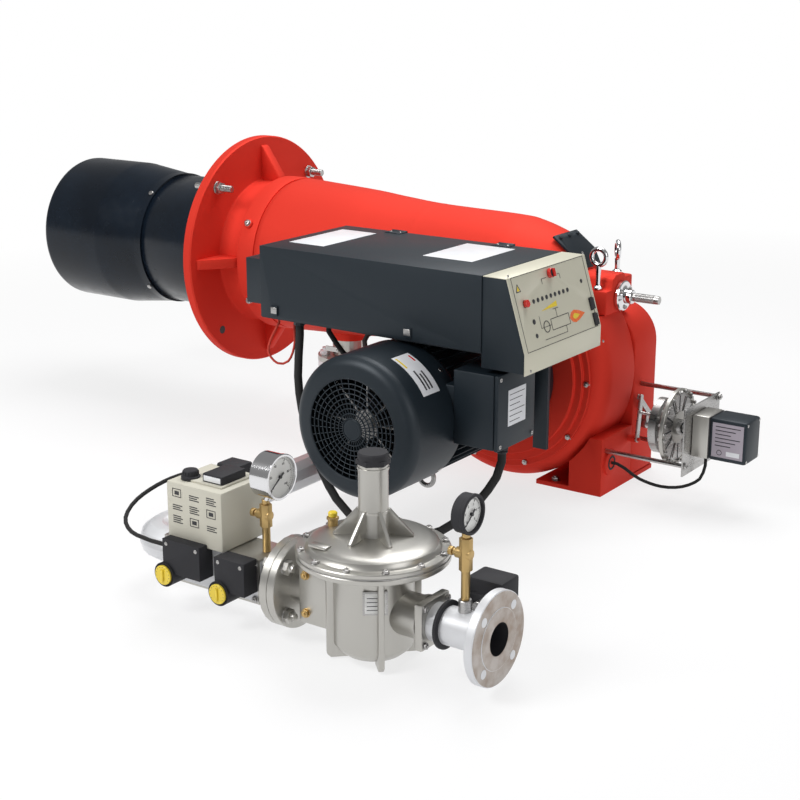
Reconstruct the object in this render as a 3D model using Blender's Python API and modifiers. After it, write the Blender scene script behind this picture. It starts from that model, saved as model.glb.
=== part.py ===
"""Industrial gas burner: a red cast body on a black blast tube, with a fan and its motor below,
an electrical box with a control panel, a cam drive for air and gas, and a silver gas train.

Metres, +Z up.  The burner's own axis runs along X with its flame toward -X.  The motor and the
gas train stand on the -Y side.  The origin is the middle of the foot's underside.
"""
from math import atan2, cos, hypot, pi, radians, sin

import bmesh
import bpy
from mathutils import Matrix, Vector

for old_object in list(bpy.data.objects):
    bpy.data.objects.remove(old_object, do_unlink=True)

# Clearances
GAP = 0.0003            # between pieces that touch
SLIDE = 0.0005          # round a piece that slides or turns
WELD = 0.001            # how far a shape reaches into the one it is joined to
ROUND = 28              # sides of the large turned pieces
MEDIUM = 20
SMALL = 12

# Burner axis and head
AXIS_Z = 0.485
FLANGE_X = -1.104       # rear face of the mounting flange
FLANGE_THICK = 0.029
FLANGE_R = 0.328
HUB_R = 0.205
HUB_LENGTH = 0.073
STUD_CIRCLE = 0.288
STUD_R = 0.009
TUBE_R = 0.190
TUBE_WALL = 0.006
TUBE_LENGTH = 0.340
SLEEVE_R = 0.2145
SLEEVE_WALL = 0.006
SLEEVE_TIP_X = -1.812
SLEEVE_CONE_X = -1.595  # where the wide sleeve starts to narrow
SLEEVE_END_X = -1.425
LANCE_R = 0.035
LANCE_WALL = 0.006
LANCE_TIP_X = -1.550
LANCE_TAIL_X = -0.680
HEAD_ROD_R = 0.0105
HEAD_ROD_END_X = 0.162
DISC_R = 0.175
DISC_THICK = 0.004
NOZZLES = 6
NOZZLE_CIRCLE = 0.100
GAS_ENTRY_X = -0.800    # gas comes up into the head here

# Cast body
DUCT_WALL = 0.008
SPLIT_Z = 0.450         # joint plane of duct and fan housing
DUCT_END_X = -0.030
DUCT_RADII = ((-0.965, 0.216), (-0.865, 0.212), (-0.725, 0.204), (-0.625, 0.195),
              (-0.495, 0.186), (-0.265, 0.181), (-0.200, 0.174), (-0.125, 0.155),
              (-0.085, 0.136), (-0.055, 0.108), (-0.036, 0.070))
BOSS_END_X = 0.055

# Fan housing, fan and motor
FAN_X = -0.195
FAN_Z = 0.293
SCROLL_R = 0.290
SCROLL_FRONT_Y = -0.150
SCROLL_BACK_Y = 0.020
SCROLL_WALL = 0.008
SCROLL_MOUTH_R = 0.240
EYE_R = 0.140
FAN_R = 0.200
FAN_FRONT_Y = -0.112
FAN_BACK_Y = -0.012
FAN_BLADES = 12
PLATE_R = 0.255
PLATE_THICK = 0.008
SHAFT_R = 0.021
MOTOR_R = 0.165
MOTOR_WALL = 0.015
MOTOR_FRONT_Y = -0.620
MOTOR_BACK_Y = -0.1765
COWL_R = 0.168
COWL_END_Y = -0.800
COWL_MOUTH_R = 0.118
COWL_WALL = 0.0025

# Air box and foot
WALL_X = 0.092          # rear face of the air box
FOOT_Y = (-0.142, 0.146)
FOOT_X = (-0.095, 0.092)
FOOT_THICK = 0.012
BOX_WALL = 0.008
DAMPER_Y = 0.083
DAMPER_Z = 0.140
DAMPER_WIDTH = 0.104
DAMPER_SHAFT_R = 0.006

# Electrical box
CASE_X = (-0.589, 0.042)
CASE_Y = (-0.635, -0.291)
CASE_Z = (0.469, 0.642)
SHEET = 0.003
PANEL_TOP_X = 0.103     # where the panel starts to slope
PANEL_LOW_X = 0.153
PANEL_BEND_Z = 0.482
PANEL_LOW_Z = 0.434

# Gas train
TRAIN_Y = -1.205
TRAIN_Z = 0.107
PIPE_R = 0.038
BORE_R = 0.034
GAS_FLANGE_R = 0.0925
GAS_FLANGE_THICK = 0.018
BOLT_CIRCLE = 0.0725
BOLT_R = 0.008
INLET_FACE_X = 0.445
REGULATOR_X = 0.160
REGULATOR_R = 0.080
RIM_R = 0.150
RIM_Z = 0.2165          # the plane of the diaphragm
STACK_R = 0.029
STACK_TOP_Z = 0.394
JOINT_X = -0.035        # the plane of the gasket between valve and regulator


def collection(name):
    """Make a collection in the scene."""
    made = bpy.data.collections.new(name)
    bpy.context.scene.collection.children.link(made)
    return made


PARTS = collection("industrial_gas_burner")
CUTTERS = collection("cutters")


def material(name, colour, roughness, metallic=0.0):
    """Make a Principled material with one colour."""
    made = bpy.data.materials.new(name)
    made.use_nodes = True
    shader = made.node_tree.nodes["Principled BSDF"]
    shader.inputs["Base Color"].default_value = (*colour, 1.0)
    shader.inputs["Roughness"].default_value = roughness
    shader.inputs["Metallic"].default_value = metallic
    made.diffuse_color = (*colour, 1.0)
    return made


RED = material("red paint", (0.70, 0.045, 0.025), 0.35)
BLACK = material("black paint", (0.012, 0.020, 0.026), 0.30)
BLACK_PLASTIC = material("black plastic", (0.015, 0.017, 0.020), 0.50)
STEEL = material("zinc plated steel", (0.55, 0.56, 0.56), 0.35, 1.0)
CHROME = material("chrome", (0.75, 0.75, 0.76), 0.12, 1.0)
ALUMINIUM = material("cast aluminium", (0.50, 0.49, 0.46), 0.45, 0.9)
WHITE = material("white paint", (0.72, 0.73, 0.75), 0.40)
CREAM = material("cream paint", (0.56, 0.54, 0.46), 0.45)
BEIGE = material("panel enamel", (0.64, 0.62, 0.50), 0.45)
BRASS = material("brass", (0.55, 0.38, 0.16), 0.35, 1.0)
YELLOW = material("yellow plastic", (0.80, 0.60, 0.05), 0.40)
RUBBER = material("black rubber", (0.015, 0.015, 0.017), 0.75)
RED_RUBBER = material("red silicone", (0.55, 0.05, 0.03), 0.55)
GREY = material("grey paint", (0.42, 0.41, 0.38), 0.50)
CERAMIC = material("ceramic", (0.80, 0.78, 0.72), 0.35)


def finish_mesh(mesh, finish):
    """Give a mesh its material and smooth shading with sharp edges."""
    mesh.materials.clear()
    mesh.materials.append(finish)
    mesh.shade_smooth()
    mesh.set_sharp_from_angle(angle=radians(35))


def place(name, mesh, finish, location=(0, 0, 0), turn=None):
    """Put a mesh in the part's collection at a place, turned by a quaternion."""
    finish_mesh(mesh, finish)
    made = bpy.data.objects.new(name, mesh)
    made.location = location
    if turn is not None:
        made.rotation_euler = turn.to_euler()
    PARTS.objects.link(made)
    return made


def from_bmesh(name, shape, finish, location=(0, 0, 0), turn=None):
    """Turn a bmesh into an object whose faces point out."""
    bmesh.ops.recalc_face_normals(shape, faces=shape.faces)
    mesh = bpy.data.meshes.new(name)
    shape.to_mesh(mesh)
    shape.free()
    return place(name, mesh, finish, location, turn)


def settle(piece):
    """Apply a piece's modifiers, weld its doubles and keep its place."""
    bpy.context.view_layer.update()
    evaluated = piece.evaluated_get(bpy.context.evaluated_depsgraph_get())
    mesh = bpy.data.meshes.new_from_object(evaluated)
    finish = piece.data.materials[0]
    shape = bmesh.new()
    shape.from_mesh(mesh)
    bmesh.ops.remove_doubles(shape, verts=shape.verts, dist=0.00002)
    bmesh.ops.recalc_face_normals(shape, faces=shape.faces)
    shape.to_mesh(mesh)
    shape.free()
    piece.modifiers.clear()
    piece.data = mesh
    finish_mesh(mesh, finish)
    return piece


def toward(axis):
    """The turn that takes +Z to an axis."""
    return Vector((0, 0, 1)).rotation_difference(Vector(axis))


def box(name, low, high, finish):
    """A block from its lowest to its highest corner."""
    shape = bmesh.new()
    bmesh.ops.create_cube(shape, size=1.0)
    size = Vector(high) - Vector(low)
    bmesh.ops.scale(shape, vec=size, verts=shape.verts)
    return from_bmesh(name, shape, finish, (Vector(low) + Vector(high)) / 2)


def rod(name, start, end, radius, finish, sides=SMALL, end_radius=None):
    """A round, hexagonal or tapered bar between two points."""
    start, end = Vector(start), Vector(end)
    shape = bmesh.new()
    bmesh.ops.create_cone(shape, cap_ends=True, segments=sides, radius1=radius,
                          radius2=radius if end_radius is None else end_radius,
                          depth=(end - start).length)
    return from_bmesh(name, shape, finish, (start + end) / 2, toward(end - start))


def turned(name, profile, at, axis, finish, steps=ROUND, closed=True):
    """Turn a profile of (radius, height) points about an axis through a point."""
    mesh = bpy.data.meshes.new(name)
    count = len(profile)
    edges = [(i, (i + 1) % count) for i in range(count if closed else count - 1)]
    mesh.from_pydata([(radius, 0, height) for radius, height in profile], edges, [])
    made = place(name, mesh, finish, at, toward(axis))
    screw = made.modifiers.new("turn", "SCREW")
    screw.axis = "Z"
    screw.steps = screw.render_steps = steps
    screw.use_merge_vertices = True
    screw.merge_threshold = 0.00001
    return settle(made)


def prism(name, outline, plane, low, high, finish):
    """Extrude a flat outline in the plane xy, xz or yz from low to high on the third axis."""
    curve = bpy.data.curves.new(name, "CURVE")
    curve.dimensions = "2D"
    curve.fill_mode = "BOTH"
    curve.extrude = (high - low) / 2
    spline = curve.splines.new("POLY")
    spline.points.add(len(outline) - 1)
    for point, (a, b) in zip(spline.points, outline):
        point.co = (a, b, 0, 1)
    spline.use_cyclic_u = True
    middle = (low + high) / 2
    location, angles = {"xy": ((0, 0, middle), (0, 0, 0)),
                        "xz": ((0, middle, 0), (pi / 2, 0, 0)),
                        "yz": ((middle, 0, 0), (pi / 2, 0, pi / 2))}[plane]
    guide = bpy.data.objects.new(name + " outline", curve)
    guide.location = location
    guide.rotation_euler = angles
    return mesh_of(name, guide, finish)


def mesh_of(name, guide, finish):
    """Make a curve a mesh in the same place, with its caps welded, and remove the curve."""
    CUTTERS.objects.link(guide)
    bpy.context.view_layer.update()
    evaluated = guide.evaluated_get(bpy.context.evaluated_depsgraph_get())
    mesh = bpy.data.meshes.new_from_object(evaluated)
    shape = bmesh.new()
    shape.from_mesh(mesh)
    bmesh.ops.remove_doubles(shape, verts=shape.verts, dist=0.00002)
    bmesh.ops.recalc_face_normals(shape, faces=shape.faces)
    shape.to_mesh(mesh)
    shape.free()
    made = place(name, mesh, finish)
    made.matrix_world = guide.matrix_world.copy()
    bpy.data.objects.remove(guide, do_unlink=True)
    return made


def tube(name, points, radius, finish, resolution=2):
    """A round bar along a chain of points."""
    curve = bpy.data.curves.new(name, "CURVE")
    curve.dimensions = "3D"
    curve.bevel_depth = radius
    curve.bevel_resolution = resolution
    curve.use_fill_caps = True
    spline = curve.splines.new("POLY")
    spline.points.add(len(points) - 1)
    for point, place_at in zip(spline.points, points):
        point.co = (*place_at, 1)
    return mesh_of(name, bpy.data.objects.new(name + " path", curve), finish)


def join(base, *others):
    """Weld other shapes onto a base, so that they are one solid."""
    for other in others:
        weld = base.modifiers.new("weld", "BOOLEAN")
        weld.operation = "UNION"
        weld.solver = "EXACT"
        weld.object = other
        settle(base)
        bpy.data.objects.remove(other, do_unlink=True)
    return base


def cut(piece, *cutters):
    """Take the shapes of the cutters out of a piece."""
    for cutter in cutters:
        hole = piece.modifiers.new("hole", "BOOLEAN")
        hole.operation = "DIFFERENCE"
        hole.solver = "EXACT"
        hole.object = cutter
        if cutter.name in PARTS.objects:
            PARTS.objects.unlink(cutter)
            CUTTERS.objects.link(cutter)
        cutter.hide_render = True
        cutter.display_type = "WIRE"
    return piece


def repeated(name, model, moves):
    """Copy one piece by each of the matrices, as separate solids in one object."""
    settle(model)
    shape = bmesh.new()
    for move in moves:
        copy = model.data.copy()
        copy.transform(move @ model.matrix_world)
        shape.from_mesh(copy)
        bpy.data.meshes.remove(copy)
    finish = model.data.materials[0]
    bpy.data.objects.remove(model, do_unlink=True)
    return from_bmesh(name, shape, finish)


def about(point, axis, degrees):
    """The matrix that turns about an axis through a point."""
    point = Vector(point)
    turn = Matrix.Rotation(radians(degrees), 4, Vector(axis))
    return Matrix.Translation(point) @ turn @ Matrix.Translation(-point)


def shift(x=0.0, y=0.0, z=0.0):
    """The matrix that moves by a step."""
    return Matrix.Translation((x, y, z))


def ring_of(count, point, axis, first=0.0):
    """Equal turns about an axis."""
    return [about(point, axis, first + 360.0 * i / count) for i in range(count)]


def arc(centre, radius, first, last, count):
    """Points on an arc, with angles in degrees."""
    angles = [radians(first + (last - first) * i / count) for i in range(count + 1)]
    return [(centre[0] + radius * cos(a), centre[1] + radius * sin(a)) for a in angles]


def smooth_route(points, spacing):
    """Points at a near equal spacing on a smooth curve through the route's own points."""
    points = [Vector(p) for p in points]
    ends = [2 * points[0] - points[1], *points, 2 * points[-1] - points[-2]]
    fine = []
    for a, b, c, d in zip(ends, ends[1:], ends[2:], ends[3:]):
        for i in range(24):
            t = i / 24
            fine.append(0.5 * (2 * b + (c - a) * t + (2 * a - 5 * b + 4 * c - d) * t * t
                               + (3 * b - a - 3 * c + d) * t * t * t))
    fine.append(points[-1])
    length = sum((q - p).length for p, q in zip(fine, fine[1:]))
    count = max(2, round(length / spacing))
    step, walked, chosen = length / count, 0.0, [fine[0]]
    for p, q in zip(fine, fine[1:]):
        walked += (q - p).length
        if walked >= step * len(chosen) - 1e-9 and len(chosen) < count:
            chosen.append(q)
    return chosen + [fine[-1]]


def pivot(name, at, *pieces):
    """An empty on a joint's axis that carries the pieces moving about it."""
    empty = bpy.data.objects.new(name, None)
    empty.location = at
    empty.empty_display_size = 0.03
    PARTS.objects.link(empty)
    bpy.context.view_layer.update()
    for piece in pieces:
        piece.parent = empty
        piece.matrix_parent_inverse = empty.matrix_world.inverted()
    return empty


def move(piece, matrix):
    """Move or turn a piece by a matrix."""
    bpy.context.view_layer.update()
    piece.matrix_world = matrix @ piece.matrix_world
    return piece


def bar(name, x, y, z, finish):
    """A block given by its range along each axis."""
    return box(name, (x[0], y[0], z[0]), (x[1], y[1], z[1]), finish)


ALONG_X = (1, 0, 0)
ALONG_Y = (0, 1, 0)
ALONG_Z = (0, 0, 1)
BURNER = (0, 0, AXIS_Z)
FAN = (FAN_X, 0, FAN_Z)
FLANGE_FRONT = FLANGE_X - FLANGE_THICK
HUB_END = FLANGE_X + HUB_LENGTH
SPLIT_X = FAN_X - SCROLL_R - 0.015    # the duct is whole in front of the fan housing
CASE_BACK = CASE_Y[1] + GAP


# Head: flange, blast tube and sleeve

def mounting_flange():
    """Flange to the boiler with its hub, four gusset ribs and the studs in its upper holes."""
    bore = TUBE_R - TUBE_WALL
    flange = turned("mounting_flange", [(bore, FLANGE_FRONT), (FLANGE_R, FLANGE_FRONT),
                                        (FLANGE_R, FLANGE_X), (HUB_R, FLANGE_X),
                                        (HUB_R, HUB_END), (bore, HUB_END)],
                    BURNER, ALONG_X, RED, 40)
    root, overlap, rib_tip = AXIS_Z + HUB_R, 0.008, AXIS_Z + 0.914 * FLANGE_R
    rib = prism("rib", [(FLANGE_X - overlap, root - overlap), (FLANGE_X - overlap, rib_tip),
                        (FLANGE_X + overlap, rib_tip), (HUB_END - 0.002, root + overlap),
                        (HUB_END - 0.002, root - overlap)], "xz", -0.014, 0.014, RED)
    join(flange, repeated("ribs", rib, ring_of(4, BURNER, ALONG_X)))
    for turn in (about(BURNER, ALONG_X, degrees) for degrees in (-45, 45, 135, 225)):
        hole = rod("stud hole", (FLANGE_FRONT - 0.01, 0, AXIS_Z + STUD_CIRCLE),
                   (FLANGE_X + 0.01, 0, AXIS_Z + STUD_CIRCLE), STUD_R + 0.0025, RED)
        cut(flange, move(hole, turn))
    return join(flange, flange_studs())


def flange_studs():
    """Two studs in the flange's upper holes, each held by the nut on its near side."""
    z = AXIS_Z + STUD_CIRCLE
    nut_r, nut_thick, reach = 0.0165, 0.014, 0.052
    stud = rod("stud", (FLANGE_FRONT - reach, 0, z), (FLANGE_X + reach, 0, z), STUD_R, STEEL, 8)
    join(stud, rod("nut", (FLANGE_X - WELD, 0, z), (FLANGE_X + nut_thick, 0, z), nut_r, STEEL, 6))
    return repeated("studs", stud, [about(BURNER, ALONG_X, a) for a in (-45, 45)])


def blast_tube():
    """Tube that carries the air into the boiler, with the ring that the flange holds."""
    start, end, inner = FLANGE_FRONT - TUBE_LENGTH, FLANGE_FRONT - GAP, TUBE_R - TUBE_WALL
    ring_thick = 0.006
    return turned("blast_tube", [(inner, start), (TUBE_R, start), (TUBE_R, end - ring_thick),
                                 (HUB_R, end - ring_thick), (HUB_R, end), (inner, end)],
                  BURNER, ALONG_X, BLACK)


def flame_sleeve():
    """Wide sleeve on the end of the blast tube, with a cone down to its collar."""
    seat, collar = TUBE_R + GAP, TUBE_R + 0.0055
    wide, inside = SLEEVE_R, SLEEVE_R - SLEEVE_WALL
    tip, cone, end = SLEEVE_TIP_X, SLEEVE_CONE_X, SLEEVE_END_X
    sleeve = turned("flame_sleeve", [
        (wide - 0.009, tip), (wide - 0.0025, tip + 0.004), (wide, tip + 0.015), (wide, cone),
        (wide - 0.002, cone + 0.014), (collar + 0.002, end - 0.036), (collar, end - 0.025),
        (collar, end), (seat, end), (seat, end - 0.048), (inside - 0.003, cone + 0.010),
        (inside, cone - 0.004), (inside, tip + 0.018), (wide - 0.012, tip + 0.006),
        (wide - 0.013, tip)], BURNER, ALONG_X, BLACK)
    return join(sleeve, sleeve_screws())


def sleeve_screws():
    """Four screws that hold the sleeve on the blast tube."""
    x, root = SLEEVE_END_X - 0.012, AXIS_Z + TUBE_R + 0.0055 - WELD
    screw = rod("screw", (x, 0, root), (x, 0, root + 0.006), 0.008, BLACK, 8, 0.006)
    return repeated("screws", screw, ring_of(4, BURNER, ALONG_X, 40))


# Cast duct

def duct_turned(name, wall, front, back):
    """The turned body of the duct, smaller by a wall all round."""
    ring_end = DUCT_RADII[0][0] - 0.015
    profile = [(0, front), (HUB_R - wall, front), (HUB_R - wall, ring_end)]
    profile += [(radius - wall, x) for x, radius in DUCT_RADII if x < back - 0.004]
    last = profile[-1][0]
    profile += [(last * 0.72, back), (0, back)]
    return turned(name, profile, BURNER, ALONG_X, RED, ROUND, closed=False)


def below_split(name, x, z):
    """The space under a height behind the place where the duct is whole."""
    return bar(name, (x, 0.4), (-0.5, 0.5), (-0.2, z), RED)


COVER_LINE = ((-0.112, 0.6285), (-0.058, 0.588), (-0.040, 0.5495))
COVER_Y = (-0.062, 0.057)
BOSS_OUTLINE = ((-0.078, SPLIT_Z), (0.062, SPLIT_Z), (0.062, 0.536), (0.024, 0.536),
                (0.018, 0.547), (-0.028, 0.547), (-0.044, 0.537), (-0.048, 0.512),
                (-0.078, 0.512))


def body_duct():
    """Red casting over the fan housing, which tapers into the head's hub."""
    duct = duct_turned("body_duct", 0, HUB_END + GAP, DUCT_END_X)
    pad_low = 0.262
    join(duct, rod("gas pad", (GAS_ENTRY_X, 0, pad_low), (GAS_ENTRY_X, 0, 0.34), 0.056, RED, MEDIUM))
    join(duct, prism("boss", BOSS_OUTLINE, "yz", -0.062, BOSS_END_X, RED), duct_gland())
    for x, root in ((-0.43, -0.11), (-0.10, -0.06)):
        join(duct, rod("case boss", (x, root, 0.580), (x, CASE_BACK, 0.580), 0.018, RED, SMALL))
    cut(duct, below_split("under duct", SPLIT_X, SPLIT_Z))
    hollow = duct_turned("duct hollow", DUCT_WALL, HUB_END - 0.03, DUCT_END_X - DUCT_WALL)
    cut(hollow, below_split("under hollow", SPLIT_X - DUCT_WALL, SPLIT_Z + DUCT_WALL))
    cut(duct, settle(hollow))
    cut(duct, bar("air opening", (-0.42, -0.03), (SCROLL_FRONT_Y + SCROLL_WALL, 0.008),
                  (SPLIT_Z - 0.01, SPLIT_Z + 0.02), RED))
    cut(duct, rod("gas hole", (GAS_ENTRY_X, 0, pad_low - 0.01), (GAS_ENTRY_X, 0, AXIS_Z),
                  PIPE_R - 0.002 + GAP, RED, MEDIUM))
    cut(duct, rod("bush hole", (DUCT_END_X - 0.04, 0, AXIS_Z + 0.005),
                  (BOSS_END_X + 0.01, 0, AXIS_Z + 0.005), 0.0183, RED, MEDIUM))
    seat = [*COVER_LINE, (0.03, COVER_LINE[-1][1]), (0.03, 0.70), (COVER_LINE[0][0], 0.70)]
    cut(duct, prism("cover seat", seat, "xz", COVER_Y[0] - SLIDE, COVER_Y[1] + SLIDE, RED))
    return duct


def rear_cover():
    """Black inspection plate, bent over the rear end of the duct, with three screws."""
    thick = 0.007
    (ax, az), (bx, bz), (cx, cz) = COVER_LINE
    outer = [(cx + thick, cz + 0.003), (bx + 0.75 * thick, bz + 0.7 * thick),
             (ax + 0.6 * thick, az + 0.8 * thick)]
    inner = [(x + GAP, z + GAP) for x, z in COVER_LINE]
    cover = prism("rear_cover", inner + outer, "xz", *COVER_Y, BLACK)
    slope = Vector((bx - ax, 0, bz - az)).normalized()
    normal = Vector((-slope.z, 0, slope.x))
    seat = Vector((ax, 0, az)) + slope * 0.012 + normal * (thick - WELD)
    screw = rod("screw", seat, seat + normal * 0.006, 0.006, BLACK, 8)
    return join(cover, repeated("screws", screw, [shift(y=y) for y in (-0.045, 0.0, 0.042)]))


def rod_bush():
    """Chrome disc with a sleeve that guides the head's rod through the boss."""
    face = BOSS_END_X + GAP
    bore = HEAD_ROD_R + SLIDE
    return turned("rod_bush", [(bore, DUCT_END_X - 0.012), (0.018, DUCT_END_X - 0.012),
                               (0.018, face), (0.037, face), (0.039, face + 0.002),
                               (0.039, face + 0.010), (0.036, face + 0.012), (bore, face + 0.012)],
                  (0, 0, AXIS_Z + 0.005), ALONG_X, CHROME, MEDIUM)


def lifting_eye(name, foot, axis, rise):
    """An eyebolt: a ring on a shank with a collar."""
    ring_r, wire_r = 0.020, 0.0062
    foot = Vector(foot)
    centre = foot + Vector((0, 0, rise))
    profile = [(ring_r + wire_r * cos(a), wire_r * sin(a))
               for a in [2 * pi * i / 6 for i in range(6)]]
    eye = turned(name, profile, centre, axis, STEEL, 16)
    top = centre - Vector((0, 0, ring_r - 0.002))
    return join(eye, rod("shank", foot, top, 0.0065, STEEL, 8),
                rod("collar", foot, foot + Vector((0, 0, 0.008)), 0.011, STEEL, SMALL))


def lifting_eyes():
    """Two eyebolts on the boss."""
    lifting_eye("lifting_eye_1", (0.022, -0.062, 0.512 + GAP), ALONG_Y, 0.082)
    lifting_eye("lifting_eye_2", (0.020, 0.043, 0.536 + GAP), (0.82, 0.57, 0), 0.060)


# Gas head, which slides in the duct

def gas_distributor():
    """Pipe that brings the gas up into the duct, and the sleeve that the lance slides in."""
    pipe_r, sleeve_r = PIPE_R - 0.002, LANCE_R + 0.008
    low = 0.262
    pipe = rod("gas_distributor", (GAS_ENTRY_X, 0, low), (GAS_ENTRY_X, 0, AXIS_Z), pipe_r,
               STEEL, MEDIUM)
    join(pipe, rod("sleeve", (GAS_ENTRY_X - 0.075, 0, AXIS_Z), (GAS_ENTRY_X + 0.065, 0, AXIS_Z),
                   sleeve_r, STEEL, MEDIUM))
    cut(pipe, rod("sleeve bore", (GAS_ENTRY_X - 0.1, 0, AXIS_Z), (GAS_ENTRY_X + 0.1, 0, AXIS_Z),
                  LANCE_R + SLIDE, STEEL, MEDIUM))
    cut(pipe, rod("pipe bore", (GAS_ENTRY_X, 0, low - 0.01), (GAS_ENTRY_X, 0, AXIS_Z),
                  pipe_r - 0.005, STEEL, MEDIUM))
    return pipe


def gas_lance():
    """Tube that takes the gas to the nozzles, with a slot over the entry and the head's rod."""
    inner = LANCE_R - LANCE_WALL
    lance = turned("gas_lance", [(inner, LANCE_TIP_X), (LANCE_R, LANCE_TIP_X),
                                 (LANCE_R, LANCE_TAIL_X), (0, LANCE_TAIL_X),
                                 (0, LANCE_TAIL_X - 0.012), (inner, LANCE_TAIL_X - 0.012)],
                   BURNER, ALONG_X, STEEL, MEDIUM)
    join(lance, gas_nozzles(), head_rod())
    cut(lance, bar("gas slot", (GAS_ENTRY_X - 0.045, GAS_ENTRY_X + 0.020), (-0.018, 0.018),
                   (AXIS_Z - LANCE_R - 0.01, AXIS_Z - 0.01), STEEL))
    return lance


def head_rod():
    """Rod that moves the head, from the lance's tail out through the boss."""
    high = AXIS_Z + 0.005
    return rod("head rod", (LANCE_TAIL_X - WELD, 0, high), (HEAD_ROD_END_X, 0, high), HEAD_ROD_R,
               CHROME, SMALL)


def gas_nozzles():
    """Drum on the end of the lance with six arms and their nozzles."""
    front, back = LANCE_TIP_X - 0.050, LANCE_TIP_X + WELD
    drum = rod("drum", (front, 0, AXIS_Z), (back, 0, AXIS_Z), 0.048, STEEL, MEDIUM)
    middle, nozzle_r = (front + back) / 2, 0.010
    z = AXIS_Z + NOZZLE_CIRCLE
    arm = rod("arm", (middle, 0, AXIS_Z + 0.03), (middle, 0, z + 0.004), nozzle_r, STEEL, 10)
    join(arm, rod("tip", (middle + 0.011, 0, z), (front - 0.022, 0, z), nozzle_r + 0.001, STEEL, 8))
    turns = ring_of(NOZZLES, BURNER, ALONG_X)
    return join(drum, repeated("arms", arm, turns))


def flame_disc():
    """Dished disc that holds the flame, with holes for the nozzles, and its electrodes."""
    back = LANCE_TIP_X - 0.050 - GAP
    front = back - DISC_THICK
    disc = turned("flame_disc", [(0.030, front), (DISC_R - 0.02, front), (DISC_R, front - 0.014),
                                 (DISC_R, back - 0.014), (DISC_R - 0.02, back), (0.030, back)],
                  BURNER, ALONG_X, STEEL)
    join(disc, electrodes())
    z = AXIS_Z + NOZZLE_CIRCLE
    for turn in ring_of(NOZZLES, BURNER, ALONG_X):
        hole = rod("nozzle hole", (front - 0.03, 0, z), (back + 0.03, 0, z), 0.0135, STEEL, 8)
        cut(disc, move(hole, turn))
    return disc


ELECTRODE_ANGLES = (24, 36)
ELECTRODE_CIRCLE = 0.135
ELECTRODE_R = 0.0075


def electrodes():
    """Two ignition electrodes in ceramic sleeves, held by the disc."""
    z, seat = AXIS_Z + ELECTRODE_CIRCLE, LANCE_TIP_X - 0.050
    sleeve = rod("sleeve", (seat + 0.05, 0, z), (seat - 0.03, 0, z), ELECTRODE_R, CERAMIC, 8)
    join(sleeve, rod("wire", (seat - 0.02, 0, z), (seat - 0.055, 0, z), 0.002, CERAMIC, 8))
    return repeated("electrodes", sleeve,
                    [about(BURNER, ALONG_X, degrees) for degrees in ELECTRODE_ANGLES])


# Fan housing and fan

def scroll_housing():
    """Red fan housing with a rounded front rim, open to the duct at its top."""
    outer, wall = SCROLL_R, SCROLL_WALL
    front, back = SCROLL_FRONT_Y, SCROLL_BACK_Y
    scroll = turned("scroll_housing", [
        (SCROLL_MOUTH_R, front), (outer - 0.030, front), (outer - 0.014, front + 0.010),
        (outer - 0.004, front + 0.030), (outer, front + 0.060), (outer, back - 0.006),
        (outer - 0.006, back), (EYE_R, back), (EYE_R, back - wall), (outer - wall, back - wall),
        (outer - wall, front + 0.062), (outer - wall - 0.004, front + 0.034),
        (outer - wall - 0.013, front + 0.017), (outer - 0.034, front + wall),
        (SCROLL_MOUTH_R, front + wall)], FAN, ALONG_Y, RED, 40)
    cut(scroll, bar("above split", (-0.7, 0.3), (-0.3, 0.3), (SPLIT_Z - GAP, 0.9), RED))
    return scroll


def motor_plate():
    """Stepped plate that closes the fan housing and carries the motor."""
    hole, back, front = SHAFT_R + 0.0015, SCROLL_FRONT_Y - GAP, MOTOR_BACK_Y + GAP
    step = (front - back + PLATE_THICK) / 2
    plate = turned("motor_plate", [
        (hole, back), (PLATE_R, back), (PLATE_R, back - 0.006), (PLATE_R - 0.003, back - PLATE_THICK),
        (PLATE_R - 0.017, back - PLATE_THICK), (PLATE_R - 0.019, back - PLATE_THICK + step),
        (PLATE_R - 0.037, back - PLATE_THICK + step), (PLATE_R - 0.041, front), (hole, front)],
        FAN, ALONG_Y, RED)
    cut(plate, bar("above plate", (-0.7, 0.3), (-0.3, 0.0), (SPLIT_Z - GAP, 0.9), RED))
    return plate


def impeller():
    """Fan wheel: a back plate with its hub, a front ring and straight leaning blades."""
    bore, hub_r, sheet = SHAFT_R + GAP, 0.036, 0.004
    front, back = FAN_FRONT_Y, FAN_BACK_Y
    wheel = turned("impeller", [(bore, front - 0.020), (hub_r, front - 0.020), (hub_r, front),
                                (FAN_R, front), (FAN_R, front + sheet), (hub_r, front + sheet),
                                (hub_r, front + 0.040), (bore, front + 0.040)],
                   FAN, ALONG_Y, STEEL, 28)
    ring = turned("ring", [(EYE_R, back - sheet), (FAN_R, back - sheet), (FAN_R, back),
                           (EYE_R, back)], FAN, ALONG_Y, STEEL, 28)
    length = FAN_R - EYE_R
    blade = bar("blade", (-0.0015, 0.0015), (front + 0.002, back - 0.002),
                (-length / 2, length / 2), STEEL)
    seat = shift(FAN_X, 0, FAN_Z + (FAN_R + EYE_R) / 2 - 0.003)
    lean = Matrix.Rotation(radians(28), 4, "Y")
    move(blade, seat @ lean)
    return join(wheel, ring, repeated("blades", blade, ring_of(FAN_BLADES, FAN, ALONG_Y)))


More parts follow.
